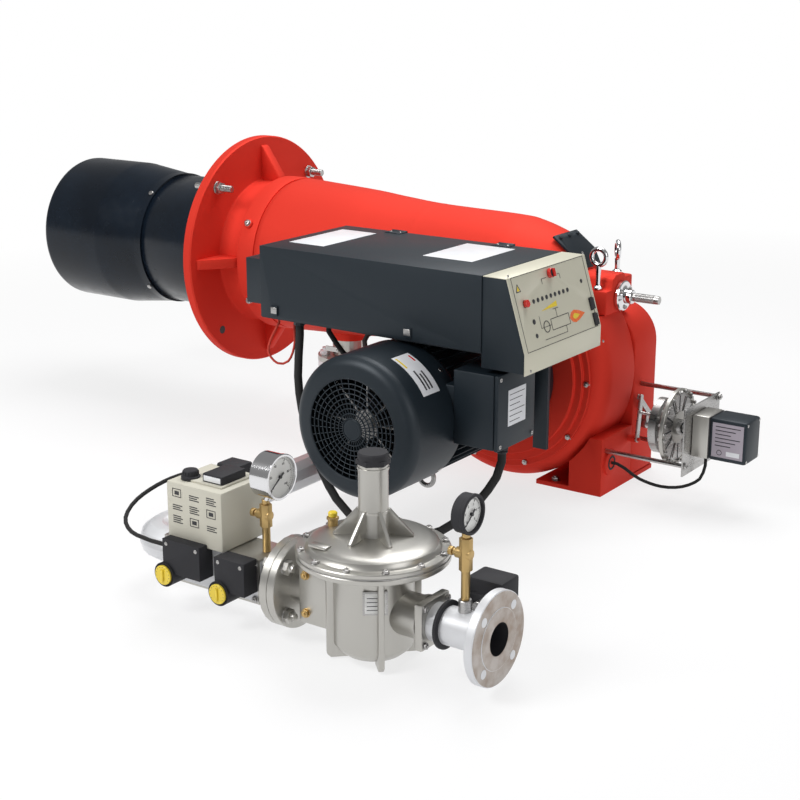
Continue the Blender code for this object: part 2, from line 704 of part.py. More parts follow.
def motor_shaft():
    """Shaft with the rotor and the cooling fan on it."""
    start, end = COWL_END_Y + 0.050, FAN_FRONT_Y + 0.038
    rotor_r, rotor = 0.100, (MOTOR_FRONT_Y + 0.070, MOTOR_BACK_Y - 0.077)
    shaft = turned("motor_shaft", [(0, start), (SHAFT_R, start), (SHAFT_R, rotor[0]),
                                   (rotor_r, rotor[0]), (rotor_r, rotor[1]), (SHAFT_R, rotor[1]),
                                   (SHAFT_R, end), (0, end)],
                   FAN, ALONG_Y, STEEL, MEDIUM, closed=False)
    return join(shaft, cooling_fan())


def cooling_fan():
    """Small fan on the motor's outer shaft end."""
    hub_r, front = 0.034, COWL_END_Y + 0.055
    fan = turned("cooling fan", [(0, front), (hub_r, front), (hub_r, front + 0.045), (0, front + 0.045)],
                 FAN, ALONG_Y, BLACK_PLASTIC, 24, closed=False)
    blade = bar("blade", (-0.002, 0.002), (front + 0.004, front + 0.041), (hub_r - 0.003, 0.135),
                BLACK_PLASTIC)
    move(blade, shift(FAN_X, 0, FAN_Z))
    return join(fan, repeated("blades", blade, ring_of(8, FAN, ALONG_Y)))


# Motor

def motor_housing():
    """Round motor body with its windings, two end walls with the shaft's bearings, and an eye."""
    bore, inner, windings = SHAFT_R + GAP, MOTOR_R - MOTOR_WALL, 0.104
    front, back, wall = MOTOR_FRONT_Y, MOTOR_BACK_Y, PLATE_THICK
    low, high = front + 0.060, back - 0.067
    housing = turned("motor_housing", [
        (bore, front), (MOTOR_R - 0.004, front), (MOTOR_R, front + 0.004), (MOTOR_R, back),
        (bore, back), (bore, back - 0.026), (0.042, back - 0.026), (0.042, back - wall),
        (inner, back - wall), (inner, high), (windings, high), (windings, low), (inner, low),
        (inner, front + wall), (0.042, front + wall), (0.042, front + 0.026), (bore, front + 0.026)],
        FAN, ALONG_Y, BLACK)
    return join(housing, motor_eye())


def fan_cowl():
    """Black cowl over the cooling fan, drawn in to a round mouth."""
    seat, mouth, end, start = MOTOR_R + SLIDE, COWL_MOUTH_R, COWL_END_Y, MOTOR_FRONT_Y + 0.012
    wall = COWL_WALL
    cowl = turned("fan_cowl", [
        (mouth, end), (0.132, end), (0.150, end + 0.007), (0.163, end + 0.026),
        (COWL_R, end + 0.055), (COWL_R, start), (seat, start), (seat, end + 0.056),
        (0.163 - wall, end + 0.0275), (0.150 - wall / 2, end + 0.007 + wall),
        (0.132, end + wall), (mouth, end + wall)], FAN, ALONG_Y, BLACK)
    return join(cowl, cowl_grille())


def cowl_grille():
    """Grille of rings and bars in the cowl's mouth."""
    low, high = COWL_END_Y + 0.0002, COWL_END_Y + COWL_WALL - 0.0002
    rings = []
    for outer in (0.092, 0.060):
        rings.append(turned("ring", [(outer - 0.003, low), (outer, low), (outer, high),
                                     (outer - 0.003, high)], FAN, ALONG_Y, BLACK, 16))
    hub = rod("grille", (FAN_X, low, FAN_Z), (FAN_X, high, FAN_Z), 0.024, BLACK, MEDIUM)
    reach = COWL_MOUTH_R + WELD
    spoke = bar("spoke", (-0.0015, 0.0015), (low + 0.0002, high - 0.0002), (0.022, reach), BLACK)
    move(spoke, shift(FAN_X, 0, FAN_Z))
    spokes = repeated("spokes", spoke, ring_of(6, FAN, ALONG_Y))
    return join(hub, spokes, *rings)


TERMINAL_X = (-0.0295, 0.078)
TERMINAL_Y = (-0.640, -0.480)
TERMINAL_Z = (0.250, 0.425)
LID_THICK = 0.012


def terminal_box():
    """Terminal box on the motor's side, with its lid and its cable gland."""
    case = bar("terminal_box", TERMINAL_X, TERMINAL_Y, TERMINAL_Z, BLACK)
    neck_y = (MOTOR_FRONT_Y + 0.022, TERMINAL_Y[1] - 0.025)
    lid = bar("lid", (TERMINAL_X[1] - WELD, TERMINAL_X[1] + LID_THICK),
              (TERMINAL_Y[0] - 0.001, TERMINAL_Y[1] + 0.001),
              (TERMINAL_Z[0] - 0.001, TERMINAL_Z[1] + 0.001), BLACK)
    edge = lid.modifiers.new("edge", "BEVEL")
    edge.width = 0.003
    edge.segments = 1
    join(case, bar("neck", (-0.085, TERMINAL_X[0] + 0.01), neck_y, (0.262, 0.385), BLACK), settle(lid),
         cable_gland())
    cowl_start = MOTOR_FRONT_Y + 0.012 + GAP
    return cut(case, turned("motor seat", [
        (0, -0.9), (COWL_R + GAP, -0.9), (COWL_R + GAP, cowl_start), (MOTOR_R + GAP, cowl_start),
        (MOTOR_R + GAP, -0.1), (0, -0.1)], FAN, ALONG_Y, BLACK, ROUND, closed=False))


GLAND_AT = (0.047, -0.550)
GLAND_LENGTH = 0.032


def cable_gland():
    """Hexagonal gland with its ring under the terminal box."""
    x, y = GLAND_AT
    top = TERMINAL_Z[0]
    gland = rod("gland", (x, y, top + WELD), (x, y, top - 0.012), 0.017, STEEL, SMALL)
    return join(gland, rod("nut", (x, y, top - 0.010), (x, y, top - GLAND_LENGTH), 0.0145, STEEL, 6))


def motor_eye():
    """Lifting eye that hangs under the motor."""
    top = FAN_Z - MOTOR_R
    y, ring_r, wire_r = -0.500, 0.021, 0.006
    profile = [(ring_r + wire_r * cos(2 * pi * i / 6), wire_r * sin(2 * pi * i / 6))
               for i in range(6)]
    eye = turned("eye", profile, (FAN_X, y, top - 0.030), ALONG_Y, STEEL, 16)
    return join(eye, rod("shank", (FAN_X, y, top + 0.004), (FAN_X, y, top - 0.012), 0.008, STEEL, 8))


# Air box, damper and foot

BOX_LOW = FOOT_THICK + GAP
BOX_TOP = SPLIT_Z - GAP
BOX_Y = (SCROLL_BACK_Y + GAP, FOOT_Y[1])
BOX_LEFT = -0.400
BOX_ARC_R = 0.100


def air_box_outline(inset):
    """Side outline of the air box, smaller by a wall all round."""
    centre = (WALL_X - BOX_ARC_R, BOX_TOP - BOX_ARC_R)
    return [(BOX_LEFT + inset, BOX_LOW + inset), (WALL_X - inset, BOX_LOW + inset),
            *arc(centre, BOX_ARC_R - inset, 0, 90, 8), (BOX_LEFT + 0.07 + inset / 2, BOX_TOP - inset),
            (BOX_LEFT + inset, BOX_TOP - 0.09)]


def air_box():
    """Air inlet box beside the fan housing, with the eye of the fan and an intake."""
    case = prism("air_box", air_box_outline(0), "xz", *BOX_Y, RED)
    cut(case, prism("inside", air_box_outline(BOX_WALL), "xz", BOX_Y[0] + BOX_WALL,
                    BOX_Y[1] - BOX_WALL, RED))
    cut(case, rod("eye", (FAN_X, BOX_Y[0] - 0.01, FAN_Z), (FAN_X, BOX_Y[0] + 0.012, FAN_Z),
                  EYE_R - 0.004, RED, ROUND))
    cut(case, bar("intake", (-0.330, 0.040), (BOX_Y[1] - 0.012, BOX_Y[1] + 0.01),
                  (BOX_LOW + 0.020, DAMPER_Z - 0.035), RED))
    cut(case, rod("shaft hole", (BOX_LEFT - 0.01, DAMPER_Y, DAMPER_Z),
                  (WALL_X + 0.01, DAMPER_Y, DAMPER_Z), DAMPER_SHAFT_R + SLIDE, RED, SMALL))
    return case


def base_foot():
    """Foot casting: a floor plate and a block that the fan housing is seated in, with a stud."""
    foot = bar("base_foot", FOOT_X, FOOT_Y, (0, FOOT_THICK), RED)
    join(foot, bar("block", (0.0, WALL_X), (FOOT_Y[0], SCROLL_BACK_Y), (0.004, 0.150), RED),
         follower_stud(), wall_grommet())
    cut(foot, turned("seat", [(0, -0.3), (SCROLL_R + GAP, -0.3), (SCROLL_R + GAP, SCROLL_BACK_Y + 0.001),
                              (0, SCROLL_BACK_Y + 0.001)], FAN, ALONG_Y, RED, 40, closed=False))
    return foot


def air_damper():
    """Flap on its shaft across the air box, with the crank on the shaft's outer end."""
    reach = 0.118
    shaft = rod("air_damper", (BOX_LEFT - 0.006, DAMPER_Y, DAMPER_Z), (reach, DAMPER_Y, DAMPER_Z),
                DAMPER_SHAFT_R, STEEL, SMALL)
    flap = bar("flap", (BOX_LEFT + BOX_WALL + 0.002, WALL_X - BOX_WALL - 0.002),
               (DAMPER_Y - DAMPER_WIDTH / 2, DAMPER_Y + DAMPER_WIDTH / 2),
               (DAMPER_Z - 0.002, DAMPER_Z + 0.002), STEEL)
    return join(shaft, flap, damper_crank())


# Electrical box

HOUSING_LEFT = CASE_X[1] - WELD


def box_base():
    """Tray of the electrical box, with its hinges, relays, glands, side switch and end housing."""
    base = bar("box_base", CASE_X, (CASE_Y[0] + GAP, CASE_Y[1]), CASE_Z, BLACK)
    inside = bar("inside", (CASE_X[0] + SHEET, CASE_X[1] - SHEET), (CASE_Y[0] - 0.01, CASE_Y[1] - SHEET),
                 (CASE_Z[0] + SHEET, CASE_Z[1] + 0.01), BLACK)
    cut(base, inside)
    settle(base)
    return join(base, control_housing(), *box_hinges(), *control_relays(), *case_glands(), air_switch(),
                support_bar())


def box_lid():
    """Bent lid that makes the top and the front of the electrical box."""
    top, front = CASE_Z[1] + GAP, CASE_Y[0]
    outline = [(front - SHEET, CASE_Z[0] + SHEET), (front, CASE_Z[0] + SHEET), (front, top),
               (CASE_Y[1], top), (CASE_Y[1], top + SHEET), (front - SHEET, top + SHEET)]
    return join(prism("box_lid", outline, "yz", CASE_X[0], HOUSING_LEFT - GAP, BLACK), *lid_latches())


HINGE_Y = CASE_Y[1] + 0.0048
HINGE_Z = CASE_Z[1] + SHEET
HINGES_X = (-0.425, -0.110)


def box_hinges():
    """Two barrel hinges behind the lid's rear edge, with leaves on the box's back."""
    barrels = []
    for x in HINGES_X:
        barrel = rod("barrel", (x - 0.022, HINGE_Y, HINGE_Z), (x + 0.022, HINGE_Y, HINGE_Z), 0.0042,
                     BLACK, 8)
        barrels.append(join(barrel, bar("leaf", (x - 0.02, x + 0.02),
                                        (CASE_Y[1] - WELD, CASE_Y[1] + 0.0028),
                                        (CASE_Z[1] - 0.035, CASE_Z[1] - 0.001), BLACK),
                            bar("arm", (x - 0.02, x + 0.02), (CASE_Y[1] + 0.0012, CASE_Y[1] + 0.0028),
                                (CASE_Z[1] - 0.010, HINGE_Z - 0.001), BLACK)))
    return barrels


def lid_latches():
    """Two turn latches on the lid's front."""
    y = CASE_Y[0] - SHEET + WELD
    latches = []
    for x in (-0.545, -0.155):
        latches.append(bar("latch", (x - 0.010, x + 0.010), (y - 0.006, y),
                           (CASE_Z[0] + 0.010, CASE_Z[0] + 0.034), BLACK))
    return latches


PANEL_Y = (-0.6365, -0.289)
PANEL_THICK = 0.002
PANEL_TOP_Z = CASE_Z[1] + SHEET
PANEL_LEFT = CASE_X[1] + GAP


def control_housing():
    """Cheeks and floor behind the control panel."""
    inset = PANEL_THICK + GAP
    low = PANEL_LOW_Z + 0.004
    outline = [(HOUSING_LEFT, low), (HOUSING_LEFT, PANEL_TOP_Z - inset),
               (PANEL_TOP_X - 0.7 * inset, PANEL_TOP_Z - inset),
               (PANEL_LOW_X - inset, PANEL_BEND_Z), (PANEL_LOW_X - inset, low)]
    cheeks = (PANEL_Y[0] + 0.001, PANEL_Y[1] - 0.001)
    housing = prism("housing", outline, "xz", *cheeks, BLACK)
    cut(housing, bar("inside", (HOUSING_LEFT + SHEET, PANEL_LOW_X + 0.02),
                     (cheeks[0] + SHEET, cheeks[1] - SHEET), (low + SHEET, PANEL_TOP_Z + 0.02), BLACK))
    return settle(housing)


SLOPE = Vector((PANEL_TOP_X - PANEL_LOW_X, 0, PANEL_TOP_Z - PANEL_BEND_Z)).normalized()
OUTWARD = Vector((SLOPE.z, 0, -SLOPE.x))
PANEL_MIDDLE = Vector(((PANEL_TOP_X + PANEL_LOW_X) / 2, 0, (PANEL_TOP_Z + PANEL_BEND_Z) / 2))


def on_panel(y, up, out=0.0):
    """A point on the sloping panel, given across, up the slope and out of its face."""
    return PANEL_MIDDLE + SLOPE * up + OUTWARD * out + Vector((0, y, 0))


def on_slope(name, y, up, width, height, low, high, finish):
    """A block that lies square on the sloping panel."""
    block = box(name, (-height / 2, -width / 2, low), (height / 2, width / 2, high), finish)
    lie = Matrix((-SLOPE, Vector((0, 1, 0)), OUTWARD)).transposed().to_4x4()
    if lie.determinant() < 0:
        lie = Matrix((SLOPE, Vector((0, 1, 0)), OUTWARD)).transposed().to_4x4()
    return move(block, Matrix.Translation(on_panel(y, up)) @ lie)


KNOB_AT = (-0.461, 0.069)
KNOB_R = 0.011
KNOB_SHAFT_R = 0.004
BUTTON_AT = (-0.588, 0.021)
BUTTON_R = 0.0085
ROCKERS_AT = ((-0.3085, -0.029), (-0.3065, -0.0665))
ROCKER_SIZE = (0.0186, 0.0270)


def control_panel():
    """Beige panel: a bent sheet with holes for its controls."""
    t = PANEL_THICK
    outline = [(PANEL_LEFT, PANEL_TOP_Z), (PANEL_TOP_X, PANEL_TOP_Z), (PANEL_LOW_X, PANEL_BEND_Z),
               (PANEL_LOW_X, PANEL_LOW_Z), (PANEL_LOW_X - t, PANEL_LOW_Z),
               (PANEL_LOW_X - t, PANEL_BEND_Z - 0.15 * t), (PANEL_TOP_X - 0.74 * t, PANEL_TOP_Z - t),
               (PANEL_LEFT, PANEL_TOP_Z - t)]
    panel = prism("control_panel", outline, "xz", *PANEL_Y, BEIGE)
    for at, radius in ((KNOB_AT, KNOB_SHAFT_R + SLIDE), (BUTTON_AT, BUTTON_R + SLIDE)):
        cut(panel, rod("hole", on_panel(*at, -0.01), on_panel(*at, 0.01), radius, BEIGE, SMALL))
    for y, up in ROCKERS_AT:
        cut(panel, on_slope("rocker hole", y, up, ROCKER_SIZE[0] + 2 * SLIDE,
                            ROCKER_SIZE[1] + 0.0030, -0.01, 0.01, BEIGE))
    return panel


def selector_knob():
    """Rotary switch with a pointer bar."""
    knob = rod("selector_knob", on_panel(*KNOB_AT, 0.0006), on_panel(*KNOB_AT, 0.010), KNOB_R,
               BLACK_PLASTIC, 24)
    return join(knob, rod("shaft", on_panel(*KNOB_AT, -0.012), on_panel(*KNOB_AT, 0.002), KNOB_SHAFT_R,
                          BLACK_PLASTIC, 8),
                on_slope("grip", *KNOB_AT, 0.005, 2 * KNOB_R - 0.002, 0.008, 0.017, BLACK_PLASTIC))


def reset_button():
    """Push button that slides in its hole."""
    return rod("reset_button", on_panel(*BUTTON_AT, -0.012), on_panel(*BUTTON_AT, 0.009), BUTTON_R,
               BLACK_PLASTIC, 24)


def rocker(name, at):
    """Rocker switch that tilts about its middle."""
    return on_slope(name, *at, *ROCKER_SIZE, -0.010, 0.0035, BLACK_PLASTIC)


def control_relays():
    """Relay and terminal blocks on the floor of the electrical box."""
    low = CASE_Z[0] + SHEET - WELD
    blocks = [bar("relay", (x, x + 0.055), (-0.44, -0.33), (low, low + 0.085), GREY)
              for x in (-0.50, -0.43, -0.36)]
    blocks.append(bar("programmer", (-0.27, -0.16), (-0.46, -0.33), (low, low + 0.100), CREAM))
    blocks.append(bar("terminals", (-0.52, -0.10), (-0.54, -0.50), (low, low + 0.030), GREY))
    return blocks


def air_switch():
    """Air pressure switch on the end of the electrical box."""
    face = CASE_X[0]
    switch = bar("air switch", (face - 0.050, face + WELD), (-0.630, -0.550), (0.500, 0.610), BLACK_PLASTIC)
    return join(switch, rod("port", (face - 0.025, -0.59, 0.505), (face - 0.025, -0.59, 0.485), 0.007,
                            BLACK_PLASTIC, 8))


CASE_CORDS = ((-0.500, -0.600, 0.0145), (-0.450, -0.550, 0.0120))
CASE_GLAND_LENGTH = 0.014


def case_glands():
    """Glands under the electrical box."""
    top = CASE_Z[0]
    return [rod("gland", (x, y, top + WELD), (x, y, top - CASE_GLAND_LENGTH), radius, BLACK, 8)
            for x, y, radius in CASE_CORDS]


def support_bar():
    """Black channel that hangs under the electrical box beside the motor."""
    return bar("support bar", (-0.015, 0.023), (-0.303, -0.292), (0.155, CASE_Z[0] + WELD), BLACK)


# Cam drive between the servo motor, the air damper and the gas valve

CAM_Y, CAM_Z = -0.045, 0.190
CAM_R = 0.097
CAM_X = (0.245, 0.252)
CAM_INNER_X = (0.203, 0.223)
CAM_SHAFT_R = 0.010
CAM_QUARTER = 0.0245     # how much the inner cam grows over a quarter turn
ROLLER_R = 0.0115
FOLLOWER_FOOT = (0.003, 0.120)      # y and z of its pivot
FOLLOWER_TOP = (0.018, 0.229)
ROLLER_AT = 0.64         # share of the follower's length
CRANK_LENGTH = 0.028
CRANK_ANGLE = 7          # degrees from straight up, at rest
SERVO_PLATE_X = (0.302, 0.306)
STANDOFFS = ((-0.121, 0.1175), (0.060, 0.105), (0.062, 0.252))
STANDOFF_R = 0.006
CRANK_X = (0.098, 0.104)
LINK_X = (0.1065, 0.1105)
FOLLOWER_X = (0.1125, 0.1185)
PIN_R = 0.004


def crank_tip():
    """Where the damper's crank ends, in y and z."""
    angle = radians(CRANK_ANGLE)
    return DAMPER_Y + CRANK_LENGTH * sin(angle), DAMPER_Z + CRANK_LENGTH * cos(angle)


def roller_place():
    """Where the follower's roller is, in y and z."""
    (y0, z0), (y1, z1) = FOLLOWER_FOOT, FOLLOWER_TOP
    return y0 + (y1 - y0) * ROLLER_AT, z0 + (z1 - z0) * ROLLER_AT


def strap(name, a, b, width, x, finish):
    """A flat bar with round ends between two points in the y and z plane."""
    a, b = Vector(a), Vector(b)
    heading = math_degrees(atan2(b.y - a.y, b.x - a.x))
    outline = arc(b, width, heading - 90, heading + 90, 8) + arc(a, width, heading + 90, heading + 270, 8)
    return prism(name, outline, "yz", *x, finish)


def math_degrees(angle):
    """Radians to degrees."""
    return angle * 180 / pi


def cross_pin(name, at, x, radius, finish, sides=8):
    """A round pin along X at a point in y and z."""
    return rod(name, (x[0], *at), (x[1], *at), radius, finish, sides)


def cam_disc():
    """Cam on the servo's shaft: a slotted disc with setting screws and a spiral inner cam."""
    centre = (CAM_Y, CAM_Z)
    cam = cross_pin("cam_disc", centre, CAM_X, CAM_R, STEEL, 28)
    ry, rz = roller_place()
    reach = hypot(ry - CAM_Y, rz - CAM_Z) - ROLLER_R - 2 * SLIDE
    contact = math_degrees(atan2(rz - CAM_Z, ry - CAM_Y))
    spiral = []
    for i in range(36):
        turn = 360 * i / 36
        back = (turn - contact) % 360
        grow = min(back, 110) / 90 if back <= 235 else 110 / 90 * (360 - back - 8) / 117
        radius = reach + CAM_QUARTER * max(grow, 0)
        spiral.append((CAM_Y + radius * cos(radians(turn)), CAM_Z + radius * sin(radians(turn))))
    join(cam, prism("inner cam", spiral, "yz", *CAM_INNER_X, STEEL),
         cross_pin("shaft", centre, (CAM_INNER_X[0] - 0.006, SERVO_PLATE_X[1] + 0.026), CAM_SHAFT_R,
                   STEEL, SMALL),
         cross_pin("hub", centre, (CAM_INNER_X[1] - 0.001, CAM_X[1] + 0.012), 0.020, STEEL, SMALL))
    screw = cross_pin("screw", (CAM_Y + CAM_R - 0.009, CAM_Z), (CAM_X[0] - 0.004, CAM_X[1] + 0.006),
                      0.0045, STEEL, 6)
    join(cam, repeated("screws", screw, ring_of(8, (0, *centre), ALONG_X)))
    slot = bar("slot", (CAM_X[0] - 0.002, CAM_X[1] + 0.002), (CAM_Y + 0.040, CAM_Y + 0.078),
               (CAM_Z - 0.0035, CAM_Z + 0.0035), STEEL)
    return cut(cam, repeated("slots", slot, ring_of(8, (0, *centre), ALONG_X, 22.5)))


def follower_lever():
    """Lever on a stud in the wall, with a roller on the cam and a pin for the link."""
    lever = strap("follower_lever", FOLLOWER_FOOT, FOLLOWER_TOP, 0.008, FOLLOWER_X, STEEL)
    roller = roller_place()
    join(lever, cross_pin("axle", roller, (FOLLOWER_X[0] + 0.002, CAM_INNER_X[1]), PIN_R, STEEL),
         cross_pin("roller", roller, CAM_INNER_X, ROLLER_R, STEEL, SMALL),
         cross_pin("pin", FOLLOWER_TOP, (LINK_X[0] - 0.001, FOLLOWER_X[1] - 0.001), PIN_R, STEEL))
    return cut(lever, cross_pin("bore", FOLLOWER_FOOT, (0.09, 0.14), PIN_R + 0.001 + 2 * GAP, STEEL))


def follower_stud():
    """Stud in the wall that the follower turns on."""
    x = WALL_X - WELD
    stud = cross_pin("stud", FOLLOWER_FOOT, (x, FOLLOWER_X[1] + 0.006), PIN_R + 0.001, STEEL)
    return join(stud, cross_pin("collar", FOLLOWER_FOOT, (x, FOLLOWER_X[0] - GAP), 0.009, STEEL, SMALL))


def link_rod():
    """Link from the follower's pin to the crank's pin."""
    tip = crank_tip()
    link = strap("link_rod", FOLLOWER_TOP, tip, 0.0075, LINK_X, STEEL)
    cut(link, cross_pin("bore", FOLLOWER_TOP, (0.09, 0.12), PIN_R + GAP, STEEL))
    return cut(link, cross_pin("open bore", tip, (0.09, 0.12), PIN_R + 0.0011, STEEL))


def damper_crank():
    """Crank on the damper's shaft."""
    centre, tip = (DAMPER_Y, DAMPER_Z), crank_tip()
    crank = strap("crank", centre, tip, 0.0075, CRANK_X, STEEL)
    return join(crank, cross_pin("hub", centre, (WALL_X + GAP, CRANK_X[1] + 0.0005), 0.012, STEEL, SMALL),
                cross_pin("pin", tip, (CRANK_X[0] + 0.001, LINK_X[0] - GAP), PIN_R, STEEL))


def servo_plate():
    """Flat plate between the cam and the servo motor, on three bars from the wall."""
    plate = bar("servo_plate", SERVO_PLATE_X, (-0.130, 0.072), (0.092, 0.262), STEEL)
    join(plate, *[cross_pin("standoff", at, (WALL_X + GAP, SERVO_PLATE_X[0] + WELD), STANDOFF_R, STEEL, 8)
                  for at in STANDOFFS])
    return cut(plate, cross_pin("hole", (CAM_Y, CAM_Z), (0.29, 0.32), CAM_SHAFT_R + 0.003, STEEL, 24))


SERVO_Y = (-0.088, -0.003)
SERVO_Z = (0.135, 0.242)
SERVO_BASE_END = 0.350


def servo_motor():
    """Servo motor: a base with a bore for the cam's shaft, and its cover."""
    low, step = SERVO_PLATE_X[1] + GAP, 0.002
    motor = bar("servo_motor", (low, SERVO_BASE_END), SERVO_Y, SERVO_Z, GREY)
    cover = bar("cover", (SERVO_BASE_END - WELD, SERVO_BASE_END + 0.098),
                (SERVO_Y[0] + step, SERVO_Y[1] - step), (SERVO_Z[0] + step, SERVO_Z[1] - step), GREY)
    edge = cover.modifiers.new("edge", "BEVEL")
    edge.width = 0.004
    edge.segments = 1
    x, y, top = SERVO_CABLE[0]
    join(motor, settle(cover), rod("cable entry", (x, y, SERVO_Z[0] + 0.002), (x, y, top + GAP), 0.010,
                                   GREY, 8))
    return cut(motor, cross_pin("bore", (CAM_Y, CAM_Z), (0.30, SERVO_BASE_END - 0.012),
                                CAM_SHAFT_R + SLIDE, GREY, SMALL))


GROMMET_AT = (-0.100, 0.082)
GROMMET_OUT = 0.007


def wall_grommet():
    """Grey disc on the wall where the servo's cable goes in."""
    x = WALL_X
    return cross_pin("grommet", GROMMET_AT, (x - WELD, x + GROMMET_OUT), 0.0335, GREY, 24)


# Gas valve under the duct

VALVE_LOW_Z, VALVE_TOP_Z = 0.200, 0.262 - GAP
BUTTERFLY_Z = 0.238
BUTTERFLY_BORE = PIPE_R - 0.007


def flange_holes(plate, at, axis, low, high):
    """Cut the four bolt holes of a gas flange."""
    for i in range(4):
        angle = radians(45 + 90 * i)
        a, b = BOLT_CIRCLE * cos(angle), BOLT_CIRCLE * sin(angle)
        offset = Vector((0, a, b)) if axis == ALONG_X else Vector((a, b, 0))
        start = Vector(at) + offset
        cut(plate, rod("bolt hole", start + Vector(axis) * low, start + Vector(axis) * high,
                       BOLT_R + 0.001, STEEL, 8))
    return plate


def flange_bolts(at, axis, held, far):
    """Four bolts through two gas flanges, welded to the flange that ends at the held height."""
    side = 1 if far > held else -1
    head = held - side * 0.011
    shank = rod("bolt", (0, 0, head), (0, 0, far + side * 0.022), BOLT_R, STEEL, 8)
    join(shank, rod("head", (0, 0, head), (0, 0, held + side * WELD), 0.0150, STEEL, 6),
         rod("nut", (0, 0, far + side * GAP), (0, 0, far + side * (GAP + 0.013)), 0.0150, STEEL, 6))
    turn = Matrix.Translation(at) @ toward(axis).to_matrix().to_4x4()
    moves = []
    for i in range(4):
        angle = radians(45 + 90 * i)
        moves.append(turn @ shift(BOLT_CIRCLE * cos(angle), BOLT_CIRCLE * sin(angle)))
    return repeated("bolts", shank, moves)


def butterfly_body():
    """Body of the gas butterfly valve, between the duct's pad and the gas flange."""
    at = (GAS_ENTRY_X, 0, 0)
    body = turned("butterfly_body", [
        (BUTTERFLY_BORE, VALVE_LOW_Z), (GAS_FLANGE_R, VALVE_LOW_Z), (GAS_FLANGE_R, VALVE_LOW_Z + 0.014),
        (0.050, VALVE_LOW_Z + 0.014), (0.050, VALVE_TOP_Z), (BUTTERFLY_BORE, VALVE_TOP_Z)],
        at, ALONG_Z, ALUMINIUM, 26)
    cut(body, rod("shaft hole", (GAS_ENTRY_X, -0.07, BUTTERFLY_Z), (GAS_ENTRY_X, 0.07, BUTTERFLY_Z),
                  PIN_R + SLIDE, ALUMINIUM, 8))
    return flange_holes(body, at, ALONG_Z, VALVE_LOW_Z - 0.01, VALVE_LOW_Z + 0.03)


def gas_butterfly():
    """Round flap on its shaft in the gas valve, with its lever outside."""
    disc = rod("gas_butterfly", (GAS_ENTRY_X, 0, BUTTERFLY_Z - 0.0015),
               (GAS_ENTRY_X, 0, BUTTERFLY_Z + 0.0015), BUTTERFLY_BORE - SLIDE, STEEL, MEDIUM)
    join(disc, rod("shaft", (GAS_ENTRY_X, -0.070, BUTTERFLY_Z), (GAS_ENTRY_X, 0.060, BUTTERFLY_Z),
                   PIN_R, STEEL, 8))
    return join(disc, bar("lever", (GAS_ENTRY_X - 0.036, GAS_ENTRY_X + 0.008), (-0.068, -0.064),
                          (BUTTERFLY_Z - 0.007, BUTTERFLY_Z + 0.007), STEEL))


def rounded_path(corners, radius, count=5):
    """Points along straight runs joined by round bends."""
    corners = [Vector(c) for c in corners]
    path = [corners[0]]
    for before, corner, after in zip(corners, corners[1:], corners[2:]):
        a, b = (before - corner).normalized(), (after - corner).normalized()
        half = a.angle(b) / 2
        centre = corner + (a + b).normalized() * radius / sin(half)
        first = corner + a * radius / (sin(half) / cos(half)) - centre
        last = corner + b * radius / (sin(half) / cos(half)) - centre
        for i in range(count + 1):
            path.append(centre + radius * first.slerp(last, i / count))
    return path + [corners[-1]]


def gas_pipe():
    """White pipe from the shut-off valve round to the flange under the duct."""
    left = VALVE_BODY_X[0] - GAP
    corners = [(left, TRAIN_Y, TRAIN_Z), (-0.450, TRAIN_Y, TRAIN_Z), (-0.450, -0.370, TRAIN_Z),
               (GAS_ENTRY_X, 0, TRAIN_Z), (GAS_ENTRY_X, 0, VALVE_LOW_Z - GAP)]
    bend = 0.062
    pipe = tube("gas_pipe", rounded_path(corners, bend), PIPE_R, WHITE, 3)
    join(pipe, rod("flange", (GAS_ENTRY_X, 0, VALVE_LOW_Z - GAP - GAS_FLANGE_THICK),
                   (GAS_ENTRY_X, 0, VALVE_LOW_Z - GAP), GAS_FLANGE_R, WHITE, 24))
    corners[0] = (left + 0.02, TRAIN_Y, TRAIN_Z)
    corners[-1] = (GAS_ENTRY_X, 0, VALVE_LOW_Z + 0.02)
    join(pipe, flange_bolts((GAS_ENTRY_X, 0, 0), ALONG_Z, VALVE_LOW_Z - GAP - GAS_FLANGE_THICK,
                            VALVE_LOW_Z + 0.014))
    return cut(pipe, tube("pipe bore", rounded_path(corners, bend), BORE_R, WHITE, 3))


# Gas train

TRAIN = (0, TRAIN_Y, TRAIN_Z)
VALVE_BODY_X = (-0.345, -0.090)
VALVE_BODY_Y = (TRAIN_Y - 0.048, TRAIN_Y + 0.048)
VALVE_BODY_Z = (0.058, 0.154)
REGULATOR_PLATE_X = 0.305
BODY_TOP_Z = RIM_Z - 0.0010
DOME_LOW_Z = RIM_Z + 0.0010
JOINT_HALF = GAP / 2


def train_bar(name, x, half_y, z, finish):
    """A block centred across the gas train."""
    return bar(name, x, (TRAIN_Y - half_y, TRAIN_Y + half_y), z, finish)


def train_rod(name, x, radius, finish, sides=MEDIUM):
    """A round bar along the gas train's axis, turned so that no edge lies in its middle plane."""
    made = rod(name, (x[0], TRAIN_Y, TRAIN_Z), (x[1], TRAIN_Y, TRAIN_Z), radius, finish, sides)
    return move(made, about(TRAIN, ALONG_X, 7))


def upright(name, x, y, z, radius, finish, sides=SMALL):
    """A round bar that stands at a place."""
    return rod(name, (x, y, z[0]), (x, y, z[1]), radius, finish, sides)


